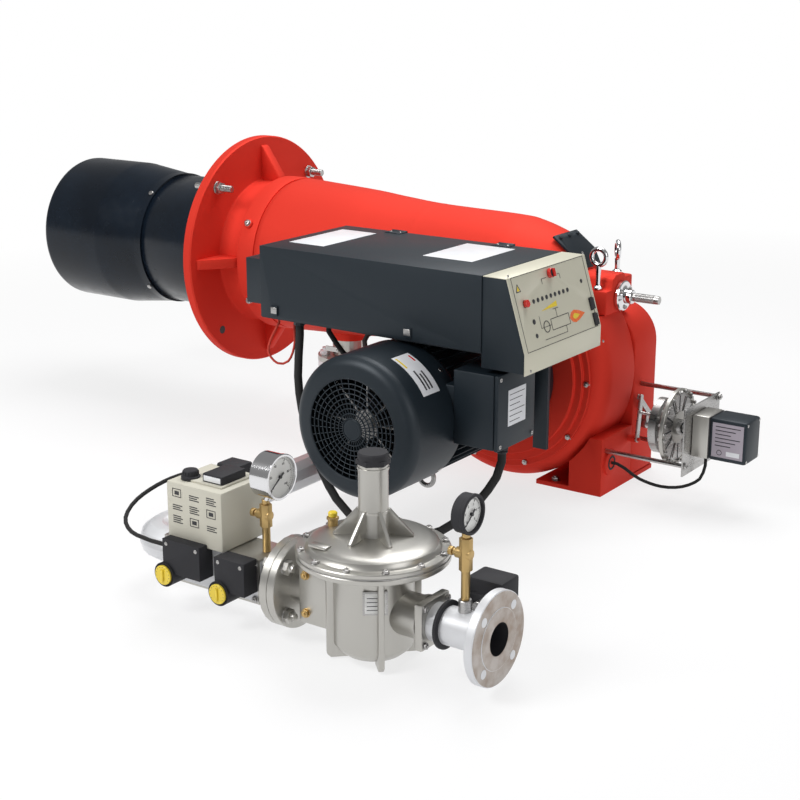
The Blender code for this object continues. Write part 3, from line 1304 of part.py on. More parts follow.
def inlet_flange():
    """White spool with the gas inlet's flange, a socket for its gauge and a pressure switch."""
    start, face = REGULATOR_PLATE_X + GAP, INLET_FACE_X
    back = face - GAS_FLANGE_THICK - 0.002
    spool = turned("inlet_flange", [(BORE_R, start), (PIPE_R, start), (PIPE_R, back),
                                    (GAS_FLANGE_R, back), (GAS_FLANGE_R, face), (BORE_R, face)],
                   TRAIN, ALONG_X, WHITE, 24)
    join(spool, upright("socket", GAUGE_2_X, TRAIN_Y, (TRAIN_Z + BORE_R + 0.0015, SOCKET_TOP_Z),
                        0.0125, WHITE), rear_switch())
    cut(spool, train_rod("bore", (start - 0.01, face + 0.01), BORE_R, WHITE))
    return flange_holes(spool, TRAIN, ALONG_X, back - 0.01, face + 0.01)


def regulator_body():
    """Cast regulator body with its ribs, its square inlet plate and its outlet flange."""
    at = (REGULATOR_X, TRAIN_Y, 0)
    top = BODY_TOP_Z
    body = turned("regulator_body", [
        (0, 0.010), (REGULATOR_R - 0.020, 0.010), (REGULATOR_R, 0.032), (REGULATOR_R, 0.186),
        (REGULATOR_R + 0.018, 0.200), (RIM_R - 0.006, 0.204), (RIM_R, 0.2065), (RIM_R, top), (0, top)],
        at, ALONG_Z, ALUMINIUM, 24, closed=False)
    rib = bar("rib", (REGULATOR_R - 0.03, REGULATOR_R + 0.014), (-0.005, 0.005), (0, 0.203), ALUMINIUM)
    ribs = repeated("ribs", rib, [Matrix.Translation(at) @ about((0, 0, 0), ALONG_Z, a)
                                  for a in (-128, -58, 58, 128)])
    join(body, ribs,
         train_rod("inlet neck", (0.20, REGULATOR_PLATE_X - 0.01), PIPE_R + 0.005, ALUMINIUM),
         train_bar("inlet plate", (REGULATOR_PLATE_X - 0.018, REGULATOR_PLATE_X), 0.0475,
                   (TRAIN_Z - 0.0475, TRAIN_Z + 0.0475), ALUMINIUM),
         train_rod("outlet neck", (JOINT_X + 0.006, 0.10), PIPE_R + 0.003, ALUMINIUM),
         train_bar("outlet block", (0.009, 0.054), 0.046, (0.046, 0.164), ALUMINIUM),
         train_rod("outlet flange", (JOINT_X + JOINT_HALF, JOINT_X + JOINT_HALF + GAS_FLANGE_THICK),
                   GAS_FLANGE_R, ALUMINIUM, 24))
    cut(body, turned("chamber", [(0, 0.024), (0.068, 0.024), (0.068, 0.188), (0.116, 0.209),
                                 (0.116, 0.24), (0, 0.24)], at, ALONG_Z, ALUMINIUM, 24, closed=False))
    cut(body, train_rod("bore", (JOINT_X - 0.02, REGULATOR_PLATE_X + 0.02), BORE_R, ALUMINIUM))
    return flange_holes(body, TRAIN, ALONG_X, JOINT_X - 0.01, JOINT_X + 0.03)


def regulator_diaphragm():
    """Rubber diaphragm clamped at the rim, with its plate, stem and valve disc."""
    at = (REGULATOR_X, TRAIN_Y, 0)
    half = RIM_Z - BODY_TOP_Z - GAP
    return turned("regulator_diaphragm", [
        (0, 0.150), (0.030, 0.150), (0.030, 0.156), (0.006, 0.156), (0.006, RIM_Z - half),
        (RIM_R - 0.001, RIM_Z - half), (RIM_R - 0.001, RIM_Z + half), (0.055, RIM_Z + half),
        (0.055, RIM_Z + 0.006), (0, RIM_Z + 0.006)], at, ALONG_Z, RUBBER, 24, closed=False)


def regulator_dome():
    """Dome with the spring's stack and its gussets."""
    at = (REGULATOR_X, TRAIN_Y, 0)
    low, bore = DOME_LOW_Z, STACK_R - 0.0055
    dome = turned("regulator_dome", [
        (bore, STACK_TOP_Z), (STACK_R, STACK_TOP_Z), (STACK_R, 0.262), (0.042, 0.251), (0.108, 0.246),
        (0.126, 0.240), (0.131, low + 0.009), (RIM_R, low + 0.009), (RIM_R, low), (0.118, low),
        (0.116, 0.232), (0.100, 0.238), (0.040, 0.243), (bore, 0.248)], at, ALONG_Z, ALUMINIUM, 24)
    gusset = prism("gusset", [(STACK_R - 0.002, 0.302), (STACK_R + 0.003, 0.302), (0.075, 0.2495),
                              (0.075, 0.2465), (STACK_R - 0.002, 0.2465)], "xz", -0.002, 0.002, ALUMINIUM)
    gussets = repeated("gussets", gusset, [Matrix.Translation(at) @ about((0, 0, 0), ALONG_Z, a)
                                           for a in (30, 90, 150, 210, 270, 330)])
    return join(dome, gussets, rim_bolts(), vent_plug(), spring_cap())


def rim_bolts():
    """Bolts round the regulator's rim."""
    low = DOME_LOW_Z + 0.009
    bolt = upright("bolt", REGULATOR_X + 0.141, TRAIN_Y, (low - WELD, low + 0.005), 0.006, STEEL, 6)
    return repeated("rim bolts", bolt, ring_of(8, (REGULATOR_X, TRAIN_Y, 0), ALONG_Z, 22.5))


def spring_cap():
    """Black hexagonal cap on the stack."""
    return upright("cap", REGULATOR_X, TRAIN_Y, (STACK_TOP_Z - WELD, STACK_TOP_Z + 0.023), STACK_R + 0.001,
                   BLACK_PLASTIC, 6)


def vent_plug():
    """Vent plug with a yellow cap on the dome."""
    x = REGULATOR_X - 0.062
    plug = upright("plug", x, TRAIN_Y, (0.2455, 0.268), 0.009, YELLOW, 8)
    return join(plug, upright("cap", x, TRAIN_Y, (0.266, 0.276), 0.012, YELLOW, 8))


def valve_body():
    """Silver shut-off valve block with its flange and the flange's bolts."""
    body = bar("valve_body", VALVE_BODY_X, VALVE_BODY_Y, VALVE_BODY_Z, ALUMINIUM)
    face = JOINT_X - JOINT_HALF
    join(body, train_rod("neck", (VALVE_BODY_X[1] - 0.02, face - 0.01), PIPE_R + 0.004, ALUMINIUM),
         train_rod("flange", (face - GAS_FLANGE_THICK, face), GAS_FLANGE_R, ALUMINIUM, 24),
         flange_bolts(TRAIN, ALONG_X, face - GAS_FLANGE_THICK, JOINT_X + JOINT_HALF + GAS_FLANGE_THICK))
    return cut(body, train_rod("bore", (VALVE_BODY_X[0] - 0.02, face + 0.02), BORE_R, ALUMINIUM))


ACTUATOR_X = (-0.320, -0.170)
ACTUATOR_Y = (-1.269, -1.130)
ACTUATOR_TOP_Z = 0.283
DIN_X = (-0.297, -0.239)
DIN_Z = (0.235, 0.290)


def actuator():
    """Cream actuator box on the valve, with its top block and its plug."""
    box_of = bar("actuator", ACTUATOR_X, ACTUATOR_Y, (VALVE_BODY_Z[1] + GAP, ACTUATOR_TOP_Z), CREAM)
    edge = box_of.modifiers.new("edge", "BEVEL")
    edge.width = 0.006
    edge.segments = 2
    settle(box_of)
    return join(box_of, actuator_top(), din_connector())


def actuator_top():
    """Black block on the actuator."""
    low = ACTUATOR_TOP_Z
    return bar("top block", (-0.245, -0.192), (-1.240, -1.165), (low - WELD, low + 0.022), BLACK_PLASTIC)


FLOW_KNOB_AT = (-0.283, -1.233)


def flow_knob():
    """Round knob that sets the flow."""
    low = ACTUATOR_TOP_Z + GAP
    knob = upright("flow_knob", *FLOW_KNOB_AT, (low, low + 0.010), 0.020, BLACK_PLASTIC, 24)
    return join(knob, upright("top", *FLOW_KNOB_AT, (low + 0.009, low + 0.020), 0.016, BLACK_PLASTIC, 8))


def din_connector():
    """Plug on the actuator's back."""
    y = ACTUATOR_Y[1]
    return bar("plug", DIN_X, (y - 0.008, y + 0.042), DIN_Z, BLACK_PLASTIC)


SWITCH_FRONT_Y = -1.300
SWITCHES = (((-0.3125, -0.212), (0.092, 0.165), (-0.306, 0.088)),
            ((-0.1720, -0.094), (0.086, 0.157), (-0.158, 0.082)))
SWITCH_DIAL_R = 0.021


def pressure_switch(name, x, z, dial):
    """Pressure switch on the valve's front, with a round housing for its dial."""
    back = VALVE_BODY_Y[0] - GAP
    switch = bar(name, x, (SWITCH_FRONT_Y + 0.006, back), z, BLACK_PLASTIC)
    join(switch, rod("dial housing", (dial[0], SWITCH_FRONT_Y, dial[1]), (dial[0], back, dial[1]),
                     SWITCH_DIAL_R + 0.005, BLACK_PLASTIC, 24))
    return cut(switch, bar("actuator notch", (ACTUATOR_X[0] - 0.01, ACTUATOR_X[1] + GAP),
                           (ACTUATOR_Y[0] - GAP, back + 0.01), (VALVE_BODY_Z[1] - GAP, 0.20),
                           BLACK_PLASTIC))


def rear_switch():
    """Pressure switch behind the inlet spool, on its port."""
    pipe_back = TRAIN_Y + PIPE_R
    switch = bar("switch", (0.338, 0.417), (pipe_back + 0.015, pipe_back + 0.080), (0.095, 0.190),
                 BLACK_PLASTIC)
    return join(switch, rod("port", (0.3775, pipe_back - 2 * WELD, TRAIN_Z),
                            (0.3775, pipe_back + 0.02, TRAIN_Z), 0.009, BLACK_PLASTIC, 8))


def switch_dial(name, at):
    """Yellow setting dial of a pressure switch."""
    x, z = at
    y = SWITCH_FRONT_Y - GAP
    dial = rod(name, (x, y, z), (x, y - 0.004, z), SWITCH_DIAL_R, YELLOW, 24)
    return join(dial, bar("grip", (x - 0.012, x + 0.012), (y - 0.008, y - 0.003), (z - 0.003, z + 0.003),
                          YELLOW))


# Gauges

GAUGE_1_X, GAUGE_2_X = -0.108, 0.370
SOCKET_TOP_Z = 0.168
DIAL_RECESS = 0.008


class Gauge:
    """Sizes of a pressure gauge on its cock."""

    def __init__(self, x, low, cock_low, cock_high, dial, radius, depth):
        self.x, self.low = x, low
        self.cock_low, self.cock_high = cock_low, cock_high
        self.dial, self.radius, self.depth = dial, radius, depth


GAUGES = (Gauge(GAUGE_1_X, VALVE_BODY_Z[1], 0.208, 0.256, (-0.063, 0.321), 0.0475, 0.050),
          Gauge(GAUGE_2_X, SOCKET_TOP_Z, 0.226, 0.290, (0.387, 0.338), 0.0390, 0.029))


def gauge_cock(name, g):
    """Brass push-button cock on the riser that stands on the train."""
    middle = (g.cock_low + g.cock_high) / 2
    cock = upright(name, g.x, TRAIN_Y, (g.cock_low, g.cock_high), 0.0130, BRASS, 6)
    join(cock, rod("barrel", (g.x - 0.020, TRAIN_Y, middle), (g.x + 0.012, TRAIN_Y, middle), 0.0105,
                   BRASS),
         upright("riser", g.x, TRAIN_Y, (g.low + GAP, g.cock_low + WELD), 0.0085, BRASS))
    return cut(cock, rod("button hole", (g.x - 0.03, TRAIN_Y, middle), (g.x, TRAIN_Y, middle),
                         0.0050 + SLIDE, BRASS, 8))


def cock_button(name, g):
    """Push button in the side of a gauge cock."""
    middle = (g.cock_low + g.cock_high) / 2
    stem = rod(name, (g.x - 0.030, TRAIN_Y, middle), (g.x - 0.008, TRAIN_Y, middle), 0.0050, BRASS, 8)
    return join(stem, rod("knob", (g.x - 0.036, TRAIN_Y, middle), (g.x - 0.0275, TRAIN_Y, middle), 0.0090,
                          BRASS, 8))


def gauge_case(name, g):
    """Round gauge case with a recess for its dial and a stem down to its cock."""
    face, z = g.dial
    back, rim = face - g.depth, g.radius - 0.004
    case = turned(name, [(0, back), (g.radius - 0.003, back), (g.radius, back + 0.003), (g.radius, face),
                         (rim, face), (rim, face - DIAL_RECESS), (0, face - DIAL_RECESS)],
                  (0, TRAIN_Y, z), ALONG_X, STEEL, MEDIUM, closed=False)
    low = g.cock_high + GAP
    top = (back + 0.35 * g.depth, TRAIN_Y, z - g.radius * 0.85)
    return join(case, upright("foot", g.x, TRAIN_Y, (low, low + 0.010), 0.0080, STEEL, 8),
                rod("stem", (g.x, TRAIN_Y, low + 0.006), top, 0.0065, STEEL, 8))


def gauge_pointer(name, g, degrees):
    """Pointer on its pin, at its rest angle from straight up."""
    face, z = g.dial
    seat = face - DIAL_RECESS + GAP
    hub = rod(name, (seat, TRAIN_Y, z), (seat + 0.005, TRAIN_Y, z), 0.0035, BLACK_PLASTIC, 8)
    hand = prism("hand", [(-0.0022, -0.012), (0.0022, -0.012), (0.0006, g.radius - 0.010),
                          (-0.0006, g.radius - 0.010)], "yz", seat + 0.003, seat + 0.004, BLACK_PLASTIC)
    move(hand, about((0, TRAIN_Y, z), ALONG_X, degrees) @ shift(y=TRAIN_Y, z=z))
    return join(hub, hand)


# Cords

CONDUIT = ((-0.500, -0.600, 0.4547), (-0.500, -0.600, 0.430), (-0.496, -0.615, 0.330),
           (-0.474, -0.630, 0.255), (-0.440, -0.645, 0.190), (-0.391, -0.660, 0.118),
           (-0.345, -0.665, 0.060), (-0.300, -0.665, 0.024), (-0.220, -0.662, 0.0125),
           (-0.150, -0.660, 0.0125), (-0.076, -0.660, 0.026), (-0.021, -0.655, 0.060),
           (0.026, -0.620, 0.112), (0.046, -0.570, 0.165), (0.047, -0.550, 0.198),
           (0.047, -0.550, 0.2174))
CONDUIT_R = 0.0102
IGNITION_CABLE = ((-0.450, -0.550, 0.4547), (-0.450, -0.550, 0.435), (-0.444, -0.500, 0.372),
                  (-0.450, -0.420, 0.322), (-0.480, -0.340, 0.292), (-0.530, -0.262, 0.274),
                  (-0.588, -0.208, 0.284), (-0.620, -0.1742, 0.3108), (-0.620, -0.1601, 0.3249))
IGNITION_R = 0.0065
SENSING_HOSE = ((-0.560, -0.605, 0.4687), (-0.560, -0.605, 0.455), (-0.580, -0.618, 0.405),
                (-0.582, -0.620, 0.375), (-0.562, -0.612, 0.352), (-0.538, -0.600, 0.358),
                (-0.528, -0.588, 0.395), (-0.534, -0.578, 0.450), (-0.534, -0.578, 0.4687))
HOSE_R = 0.003
VALVE_CABLE = ((-0.2973, -1.108, 0.258), (-0.330, -1.108, 0.258), (-0.385, -1.115, 0.246),
               (-0.440, -1.150, 0.222), (-0.468, -1.205, 0.192), (-0.455, -1.255, 0.168),
               (-0.415, -1.279, 0.152), (-0.360, -1.280, 0.145), (-0.3128, -1.280, 0.145))
VALVE_CABLE_R = 0.0045
SERVO_CABLE = ((0.328, CAM_Y, 0.1227), (0.328, CAM_Y, 0.104), (0.318, -0.052, 0.068),
               (0.280, -0.068, 0.045), (0.230, -0.084, 0.040), (0.175, -0.094, 0.052),
               (0.135, -0.099, 0.074), (0.114, -0.100, 0.082), (0.0996, -0.100, 0.082))
SERVO_CABLE_R = 0.004
DUCT_GLAND_X = -0.620


def cord(name, points, radius, finish):
    """A flexible round cord on a smooth curve through its route, straight at both ends."""
    return tube(name, [points[0], *smooth_route(points[1:-1], 6 * radius), points[-1]], radius, finish)


def duct_gland():
    """Gland low on the duct's side, where the ignition cable goes in."""
    down = Vector((0, -1, -1)).normalized()
    middle = Vector((DUCT_GLAND_X, 0, AXIS_Z))
    return rod("duct_gland", middle + down * 0.190, middle + down * 0.2260, 0.011, BLACK_PLASTIC, 8)


# Assembly

def build_body():
    """The head, the cast body and what is fixed on it."""
    mounting_flange()
    blast_tube()
    flame_sleeve()
    body_duct()
    scroll_housing()
    motor_plate()
    air_box()
    base_foot()
    rear_cover()
    rod_bush()
    lifting_eyes()
    gas_distributor()


def build_head():
    """The gas head, which slides along the burner's axis."""
    pivot("head_slide", BURNER, gas_lance(), flame_disc())


def build_motor():
    """Motor, cowl, terminal box and the parts that turn."""
    motor_housing()
    fan_cowl()
    terminal_box()
    pivot("fan_axis", FAN, impeller(), motor_shaft())


def build_case():
    """Electrical box with its lid and its controls."""
    box_base()
    pivot("lid_hinge", (0, HINGE_Y, HINGE_Z), box_lid())
    control_panel()
    pivot("knob_axis", on_panel(*KNOB_AT), selector_knob())
    pivot("button_axis", on_panel(*BUTTON_AT), reset_button())
    for i, at in enumerate(ROCKERS_AT, 1):
        pivot(f"rocker_{i}_axis", on_panel(*at), rocker(f"rocker_{i}", at))


def build_drive():
    """Servo motor, cam, levers, air damper and gas butterfly."""
    servo_plate()
    servo_motor()
    pivot("cam_axis", (CAM_X[0], CAM_Y, CAM_Z), cam_disc())
    pivot("follower_axis", (FOLLOWER_X[0], *FOLLOWER_FOOT), follower_lever())
    pivot("link_axis", (LINK_X[0], *FOLLOWER_TOP), link_rod())
    pivot("damper_axis", (WALL_X, DAMPER_Y, DAMPER_Z), air_damper())
    butterfly_body()
    pivot("butterfly_axis", (GAS_ENTRY_X, 0, BUTTERFLY_Z), gas_butterfly())


def build_train():
    """Gas train from the inlet flange to the pipe under the duct."""
    inlet_flange()
    regulator_body()
    regulator_dome()
    regulator_diaphragm()
    valve_body()
    gas_pipe()
    actuator()
    pivot("flow_knob_axis", (*FLOW_KNOB_AT, ACTUATOR_TOP_Z), flow_knob())
    for i, (x, z, dial) in enumerate(SWITCHES, 1):
        pressure_switch(f"pressure_switch_{i}", x, z, dial)
        pivot(f"switch_dial_{i}_axis", (dial[0], SWITCH_FRONT_Y, dial[1]),
              switch_dial(f"switch_dial_{i}", dial))


def build_gauges():
    """Two pressure gauges with their cocks."""
    for i, (gauge, degrees) in enumerate(zip(GAUGES, (125, 130)), 1):
        middle = (gauge.cock_low + gauge.cock_high) / 2
        gauge_cock(f"gauge_cock_{i}", gauge)
        gauge_case(f"gauge_case_{i}", gauge)
        pivot(f"cock_button_{i}_axis", (gauge.x, TRAIN_Y, middle), cock_button(f"cock_button_{i}", gauge))
        pivot(f"gauge_pointer_{i}_axis", (gauge.dial[0], TRAIN_Y, gauge.dial[1]),
              gauge_pointer(f"gauge_pointer_{i}", gauge, degrees))


def build_cords():
    """Free cords, each on its own route."""
    cord("motor_conduit", CONDUIT, CONDUIT_R, RUBBER)
    cord("ignition_cable", IGNITION_CABLE, IGNITION_R, RUBBER)
    cord("sensing_hose", SENSING_HOSE, HOSE_R, RED_RUBBER)
    cord("valve_cable", VALVE_CABLE, VALVE_CABLE_R, RUBBER)
    cord("servo_cable", SERVO_CABLE, SERVO_CABLE_R, RUBBER)


def main():
    """Build every sub-part of the burner."""
    build_body()
    build_head()
    build_motor()
    build_case()
    build_drive()
    build_train()
    build_gauges()
    build_cords()


main()
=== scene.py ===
"""Monobloc industrial gas burner with its gas train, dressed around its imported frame."""

import logging
from dataclasses import dataclass
from enum import Enum
from math import cos, pi, radians, sin
from typing import Sequence

import bmesh
import bpy
from mathutils import Matrix, Vector


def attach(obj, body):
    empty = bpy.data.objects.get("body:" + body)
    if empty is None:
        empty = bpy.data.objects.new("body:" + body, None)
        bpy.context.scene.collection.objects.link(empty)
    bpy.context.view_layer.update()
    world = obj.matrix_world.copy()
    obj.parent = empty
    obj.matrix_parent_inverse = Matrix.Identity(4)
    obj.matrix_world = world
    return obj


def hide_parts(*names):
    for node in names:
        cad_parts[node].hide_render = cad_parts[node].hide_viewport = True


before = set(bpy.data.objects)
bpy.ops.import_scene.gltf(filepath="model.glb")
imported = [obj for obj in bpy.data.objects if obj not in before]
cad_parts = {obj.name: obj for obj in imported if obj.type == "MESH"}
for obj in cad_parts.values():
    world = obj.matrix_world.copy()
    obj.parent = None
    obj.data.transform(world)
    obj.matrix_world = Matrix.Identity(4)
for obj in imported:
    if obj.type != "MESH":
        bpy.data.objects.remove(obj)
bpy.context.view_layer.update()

log = logging.getLogger("burner")

Colour = tuple[float, float, float]
Point = tuple[float, float, float]
Outline = Sequence[tuple[float, float]]

ROOT = "burner"
SMOOTH_ANGLE = radians(32)
MERGE_ANGLE = radians(.6)
WELD = 1e-6
COAT_ROUGHNESS = .12
BURNER_AXIS_Z = .485
FAN_X, FAN_Z = -.195, .293
TRAIN_Y, TRAIN_Z = -1.205, .107
NodeInput = float | Sequence[float] | bpy.types.NodeSocket


class Shading:
    """The nodes of a material or a world, with a short way to add to them."""

    def __init__(self, holder: bpy.types.ID) -> None:
        """Turn the holder's nodes on.

        Args:
            holder: Material or world.
        """
        holder.use_nodes = True
        self.nodes, self.links = holder.node_tree.nodes, holder.node_tree.links

    def fill(self, node: bpy.types.Node, inputs: dict[str | int, NodeInput]) -> bpy.types.Node:
        """Set or link a node's inputs.

        Args:
            node: Node to fill.
            inputs: A value, or a socket to link, for each input.

        Returns:
            The same node.
        """
        for name, value in inputs.items():
            if isinstance(value, bpy.types.NodeSocket):
                self.links.new(value, node.inputs[name])
            else:
                node.inputs[name].default_value = value
        return node

    def add(self, kind: str, inputs: dict[str | int, NodeInput] | None = None) -> bpy.types.Node:
        """Add a node of a kind, and fill its inputs."""
        return self.fill(self.nodes.new("ShaderNode" + kind), inputs or {})

    def noise(self, place: bpy.types.NodeSocket, scale: float,
              detail: float) -> bpy.types.NodeSocket:
        """Add a noise at some waves in a metre, and return its value."""
        return self.add("TexNoise", {"Scale": scale, "Detail": detail,
                                     "Vector": place}).outputs["Fac"]

    def spread(self, value: bpy.types.NodeSocket, source: tuple[float, float],
               target: tuple[float, float]) -> bpy.types.NodeSocket:
        """Map a value from one range to another."""
        return self.add("MapRange", {
            "Value": value, "From Min": source[0], "From Max": source[1],
            "To Min": target[0], "To Max": target[1]}).outputs["Result"]


class Grain(Enum):
    """Surface texture of a finish."""

    CAST = "cast"
    PAINTED = "painted"
    BRUSHED = "brushed"
    MOULDED = "moulded"
    PLATED = "plated"


@dataclass(frozen=True)
class Finish:
    """A finish: its colour, how far it drifts, its gloss and its grain."""

    name: str
    colour: Colour
    drifted: Colour
    gloss: tuple[float, float]
    grain: Grain
    slot: str
    metallic: float = 0.0
    coat: float = 0.0
    specular: float = .5
    drift_scale: float = 7.0

    def material(self) -> bpy.types.Material:
        """Build the node material once, and return it afterwards.

        Returns:
            The material of this finish.
        """
        made = bpy.data.materials.get(self.name)
        if made:
            return made
        made = bpy.data.materials.new(self.name)
        shading = Shading(made)
        place = fine_place = shading.add("TexCoord").outputs["Object"]
        if self.grain is Grain.BRUSHED:
            fine_place = shading.add("Mapping", {"Scale": (1.0, 1.0, 9.0),
                                                 "Vector": place}).outputs["Vector"]
        ramp = shading.add("ValToRGB", {"Fac": shading.noise(place, self.drift_scale, 5.0)})
        for stop, position, colour in zip(ramp.color_ramp.elements, (.34, .62),
                                          (self.drifted, self.colour)):
            stop.position, stop.color = position, (*colour, 1.0)
        scuffs = shading.spread(shading.noise(fine_place, 95.0, 6.0), (.6, .78), (0.0, .35))
        worn = shading.add("Mix")
        worn.data_type = "RGBA"
        shading.fill(worn, {0: scuffs, 6: ramp.outputs["Color"],
                            7: (*(.86 * c + .008 for c in self.colour), 1.0)})
        size, depth = GRAINS[self.grain]
        bump = shading.add("Bump", {"Strength": .5, "Distance": depth,
                                    "Height": shading.noise(fine_place, size, 4.0)})
        shading.fill(shading.nodes["Principled BSDF"], {
            "Base Color": worn.outputs[2], "Metallic": self.metallic,
            "Roughness": shading.spread(shading.noise(fine_place, 38.0, 7.0), (.3, .7),
                                        self.gloss),
            "Specular IOR Level": self.specular, "Coat Weight": self.coat,
            "Coat Roughness": COAT_ROUGHNESS, "Normal": bump.outputs["Normal"]})
        return made


GRAINS: dict[Grain, tuple[float, float]] = {
    Grain.CAST: (420.0, .0009),
    Grain.PAINTED: (260.0, .0003),
    Grain.BRUSHED: (700.0, .0003),
    Grain.MOULDED: (1500.0, .00025),
    Grain.PLATED: (90.0, .0002),
}

RED = Finish("red_casting", (.61, .03, .011), (.47, .018, .008), (.26, .42),
             Grain.CAST, "red_casting", coat=.3)
BLACK = Finish("black_paint", (.0045, .01, .0135), (.003, .006, .009), (.2, .32),
               Grain.PAINTED, "black_paint", specular=.13)
SOOT = Finish("heat_black", (.006, .011, .019), (.004, .007, .012), (.16, .28),
              Grain.PAINTED, "black_paint", specular=.25)
STEEL = Finish("bright_steel", (.52, .51, .5), (.36, .355, .35), (.22, .42),
               Grain.BRUSHED, "steel", metallic=1.0)
CHROME = Finish("chrome", (.82, .82, .83), (.66, .66, .68), (.06, .16),
                Grain.PLATED, "chrome", metallic=1.0)
ALUMINIUM = Finish("cast_aluminium", (.72, .72, .74), (.56, .56, .58), (.34, .52),
                   Grain.CAST, "cast_aluminium", metallic=.5)
WHITE = Finish("white_paint", (.54, .55, .56), (.43, .44, .45), (.32, .5),
               Grain.CAST, "white_paint")
CREAM = Finish("cream_plastic", (.66, .63, .53), (.57, .54, .45), (.38, .52),
               Grain.MOULDED, "cream_plastic")
PANEL = Finish("panel_enamel", (.68, .65, .53), (.62, .59, .47), (.34, .46),
               Grain.PAINTED, "panel_enamel")
BRASS = Finish("brass", (.62, .42, .16), (.4, .26, .1), (.24, .42),
               Grain.CAST, "brass", metallic=1.0)
PLASTIC = Finish("black_plastic", (.012, .013, .015), (.02, .021, .023), (.34, .5),
                 Grain.MOULDED, "black_plastic")
GREY = Finish("grey_plastic", (.26, .27, .27), (.2, .21, .21), (.36, .5),
              Grain.MOULDED, "grey_plastic")
YELLOW = Finish("yellow_plastic", (.86, .66, .03), (.76, .54, .02), (.3, .44),
                Grain.MOULDED, "yellow_plastic")
RUBBER = Finish("rubber", (.012, .012, .013), (.022, .022, .023), (.46, .62),
                Grain.MOULDED, "rubber")
RED_RUBBER = Finish("red_rubber", (.62, .035, .025), (.48, .024, .018), (.34, .48),
                    Grain.MOULDED, "red_rubber")
PAPER = Finish("label_film", (.8, .81, .83), (.72, .73, .76), (.3, .42),
               Grain.MOULDED, "cream_plastic")
LAVENDER = Finish("servo_label", (.42, .38, .43), (.36, .32, .37), (.34, .46),
                  Grain.MOULDED, "cream_plastic")
# Black print; also used as painted shade in the two empty stud holes and inside the inlet bore.
PRINT_AND_SHADE_BLACK = Finish("print_and_shade_black", (.02, .02, .024), (.03, .03, .034), (.42, .55),
             Grain.MOULDED, "black_plastic")
SIGNAL_RED = Finish("signal_red", (.72, .02, .012), (.56, .014, .01), (.18, .3),
                    Grain.MOULDED, "red_rubber", coat=.4)
SIGNAL_ORANGE = Finish("signal_orange", (.88, .17, .03), (.74, .12, .02), (.22, .34),
                       Grain.MOULDED, "yellow_plastic", coat=.3)
RUSTY = Finish("machined_face", (.5, .46, .43), (.34, .27, .22), (.34, .52),
               Grain.CAST, "steel", metallic=.6, drift_scale=30.0)
DIAL_WHITE = Finish("dial_white", (.84, .84, .82), (.78, .78, .76), (.35, .45),
                    Grain.MOULDED, "white_paint")

X, Y, Z = Vector((1, 0, 0)), Vector((0, 1, 0)), Vector((0, 0, 1))


def stand(at: Sequence[float], along: Vector) -> Matrix:
    """Return the placement that turns local Z to point along a direction at a point."""
    return Matrix.Translation(Vector(at)) @ along.to_track_quat("Z", "Y").to_matrix().to_4x4()


def spun(at: Sequence[float], degrees: float, axis: str) -> Matrix:
    """Return the placement that turns about a world axis and moves to a point."""
    return Matrix.Translation(Vector(at)) @ Matrix.Rotation(radians(degrees), 4, axis)


def lay_xz(at: Sequence[float] = (0, 0, 0)) -> Matrix:
    """Return the placement that lays local XY on world XZ, with local Z on world Y."""
    turn = Matrix(((1, 0, 0, 0), (0, 0, 1, 0), (0, 1, 0, 0), (0, 0, 0, 1)))
    return Matrix.Translation(Vector(at)) @ turn


def lay_yz(at: Sequence[float] = (0, 0, 0)) -> Matrix:
    """Return the placement that lays local XY on world YZ, with local Z on world X."""
    turn = Matrix(((0, 0, 1, 0), (1, 0, 0, 0), (0, 1, 0, 0), (0, 0, 0, 1)))
    return Matrix.Translation(Vector(at)) @ turn


def arc(centre: tuple[float, float], radius: float, start: float, end: float,
        steps: int) -> list[tuple[float, float]]:
    """Return points on an arc, from one angle in degrees to another."""
    turns = [radians(start + (end - start) * i / steps) for i in range(steps + 1)]
    return [(centre[0] + radius * cos(a), centre[1] + radius * sin(a)) for a in turns]


def around(centre: Sequence[float], along: Vector, radius: float, degrees: float) -> Vector:
    """Return the point at an angle on a circle about an axis.

    Args:
        centre: Middle of the circle.
        along: Its axis.
        radius: Its radius.
        degrees: Angle from the direction nearest the vertical.

    Returns:
        The point.
    """
    up = Z if abs(along.z) < .9 else X
    side = along.cross(up).normalized()
    top = side.cross(along).normalized()
    a = radians(degrees)
    return Vector(centre) + radius * (top * cos(a) + side * sin(a))


def on_circle(centre: Sequence[float], along: Vector, radius: float, first: float = 45,
              count: int = 4) -> list[Vector]:
    """Return evenly spaced points on a circle about an axis, from an angle in degrees."""
    return [around(centre, along, radius, first + 360 / count * i) for i in range(count)]


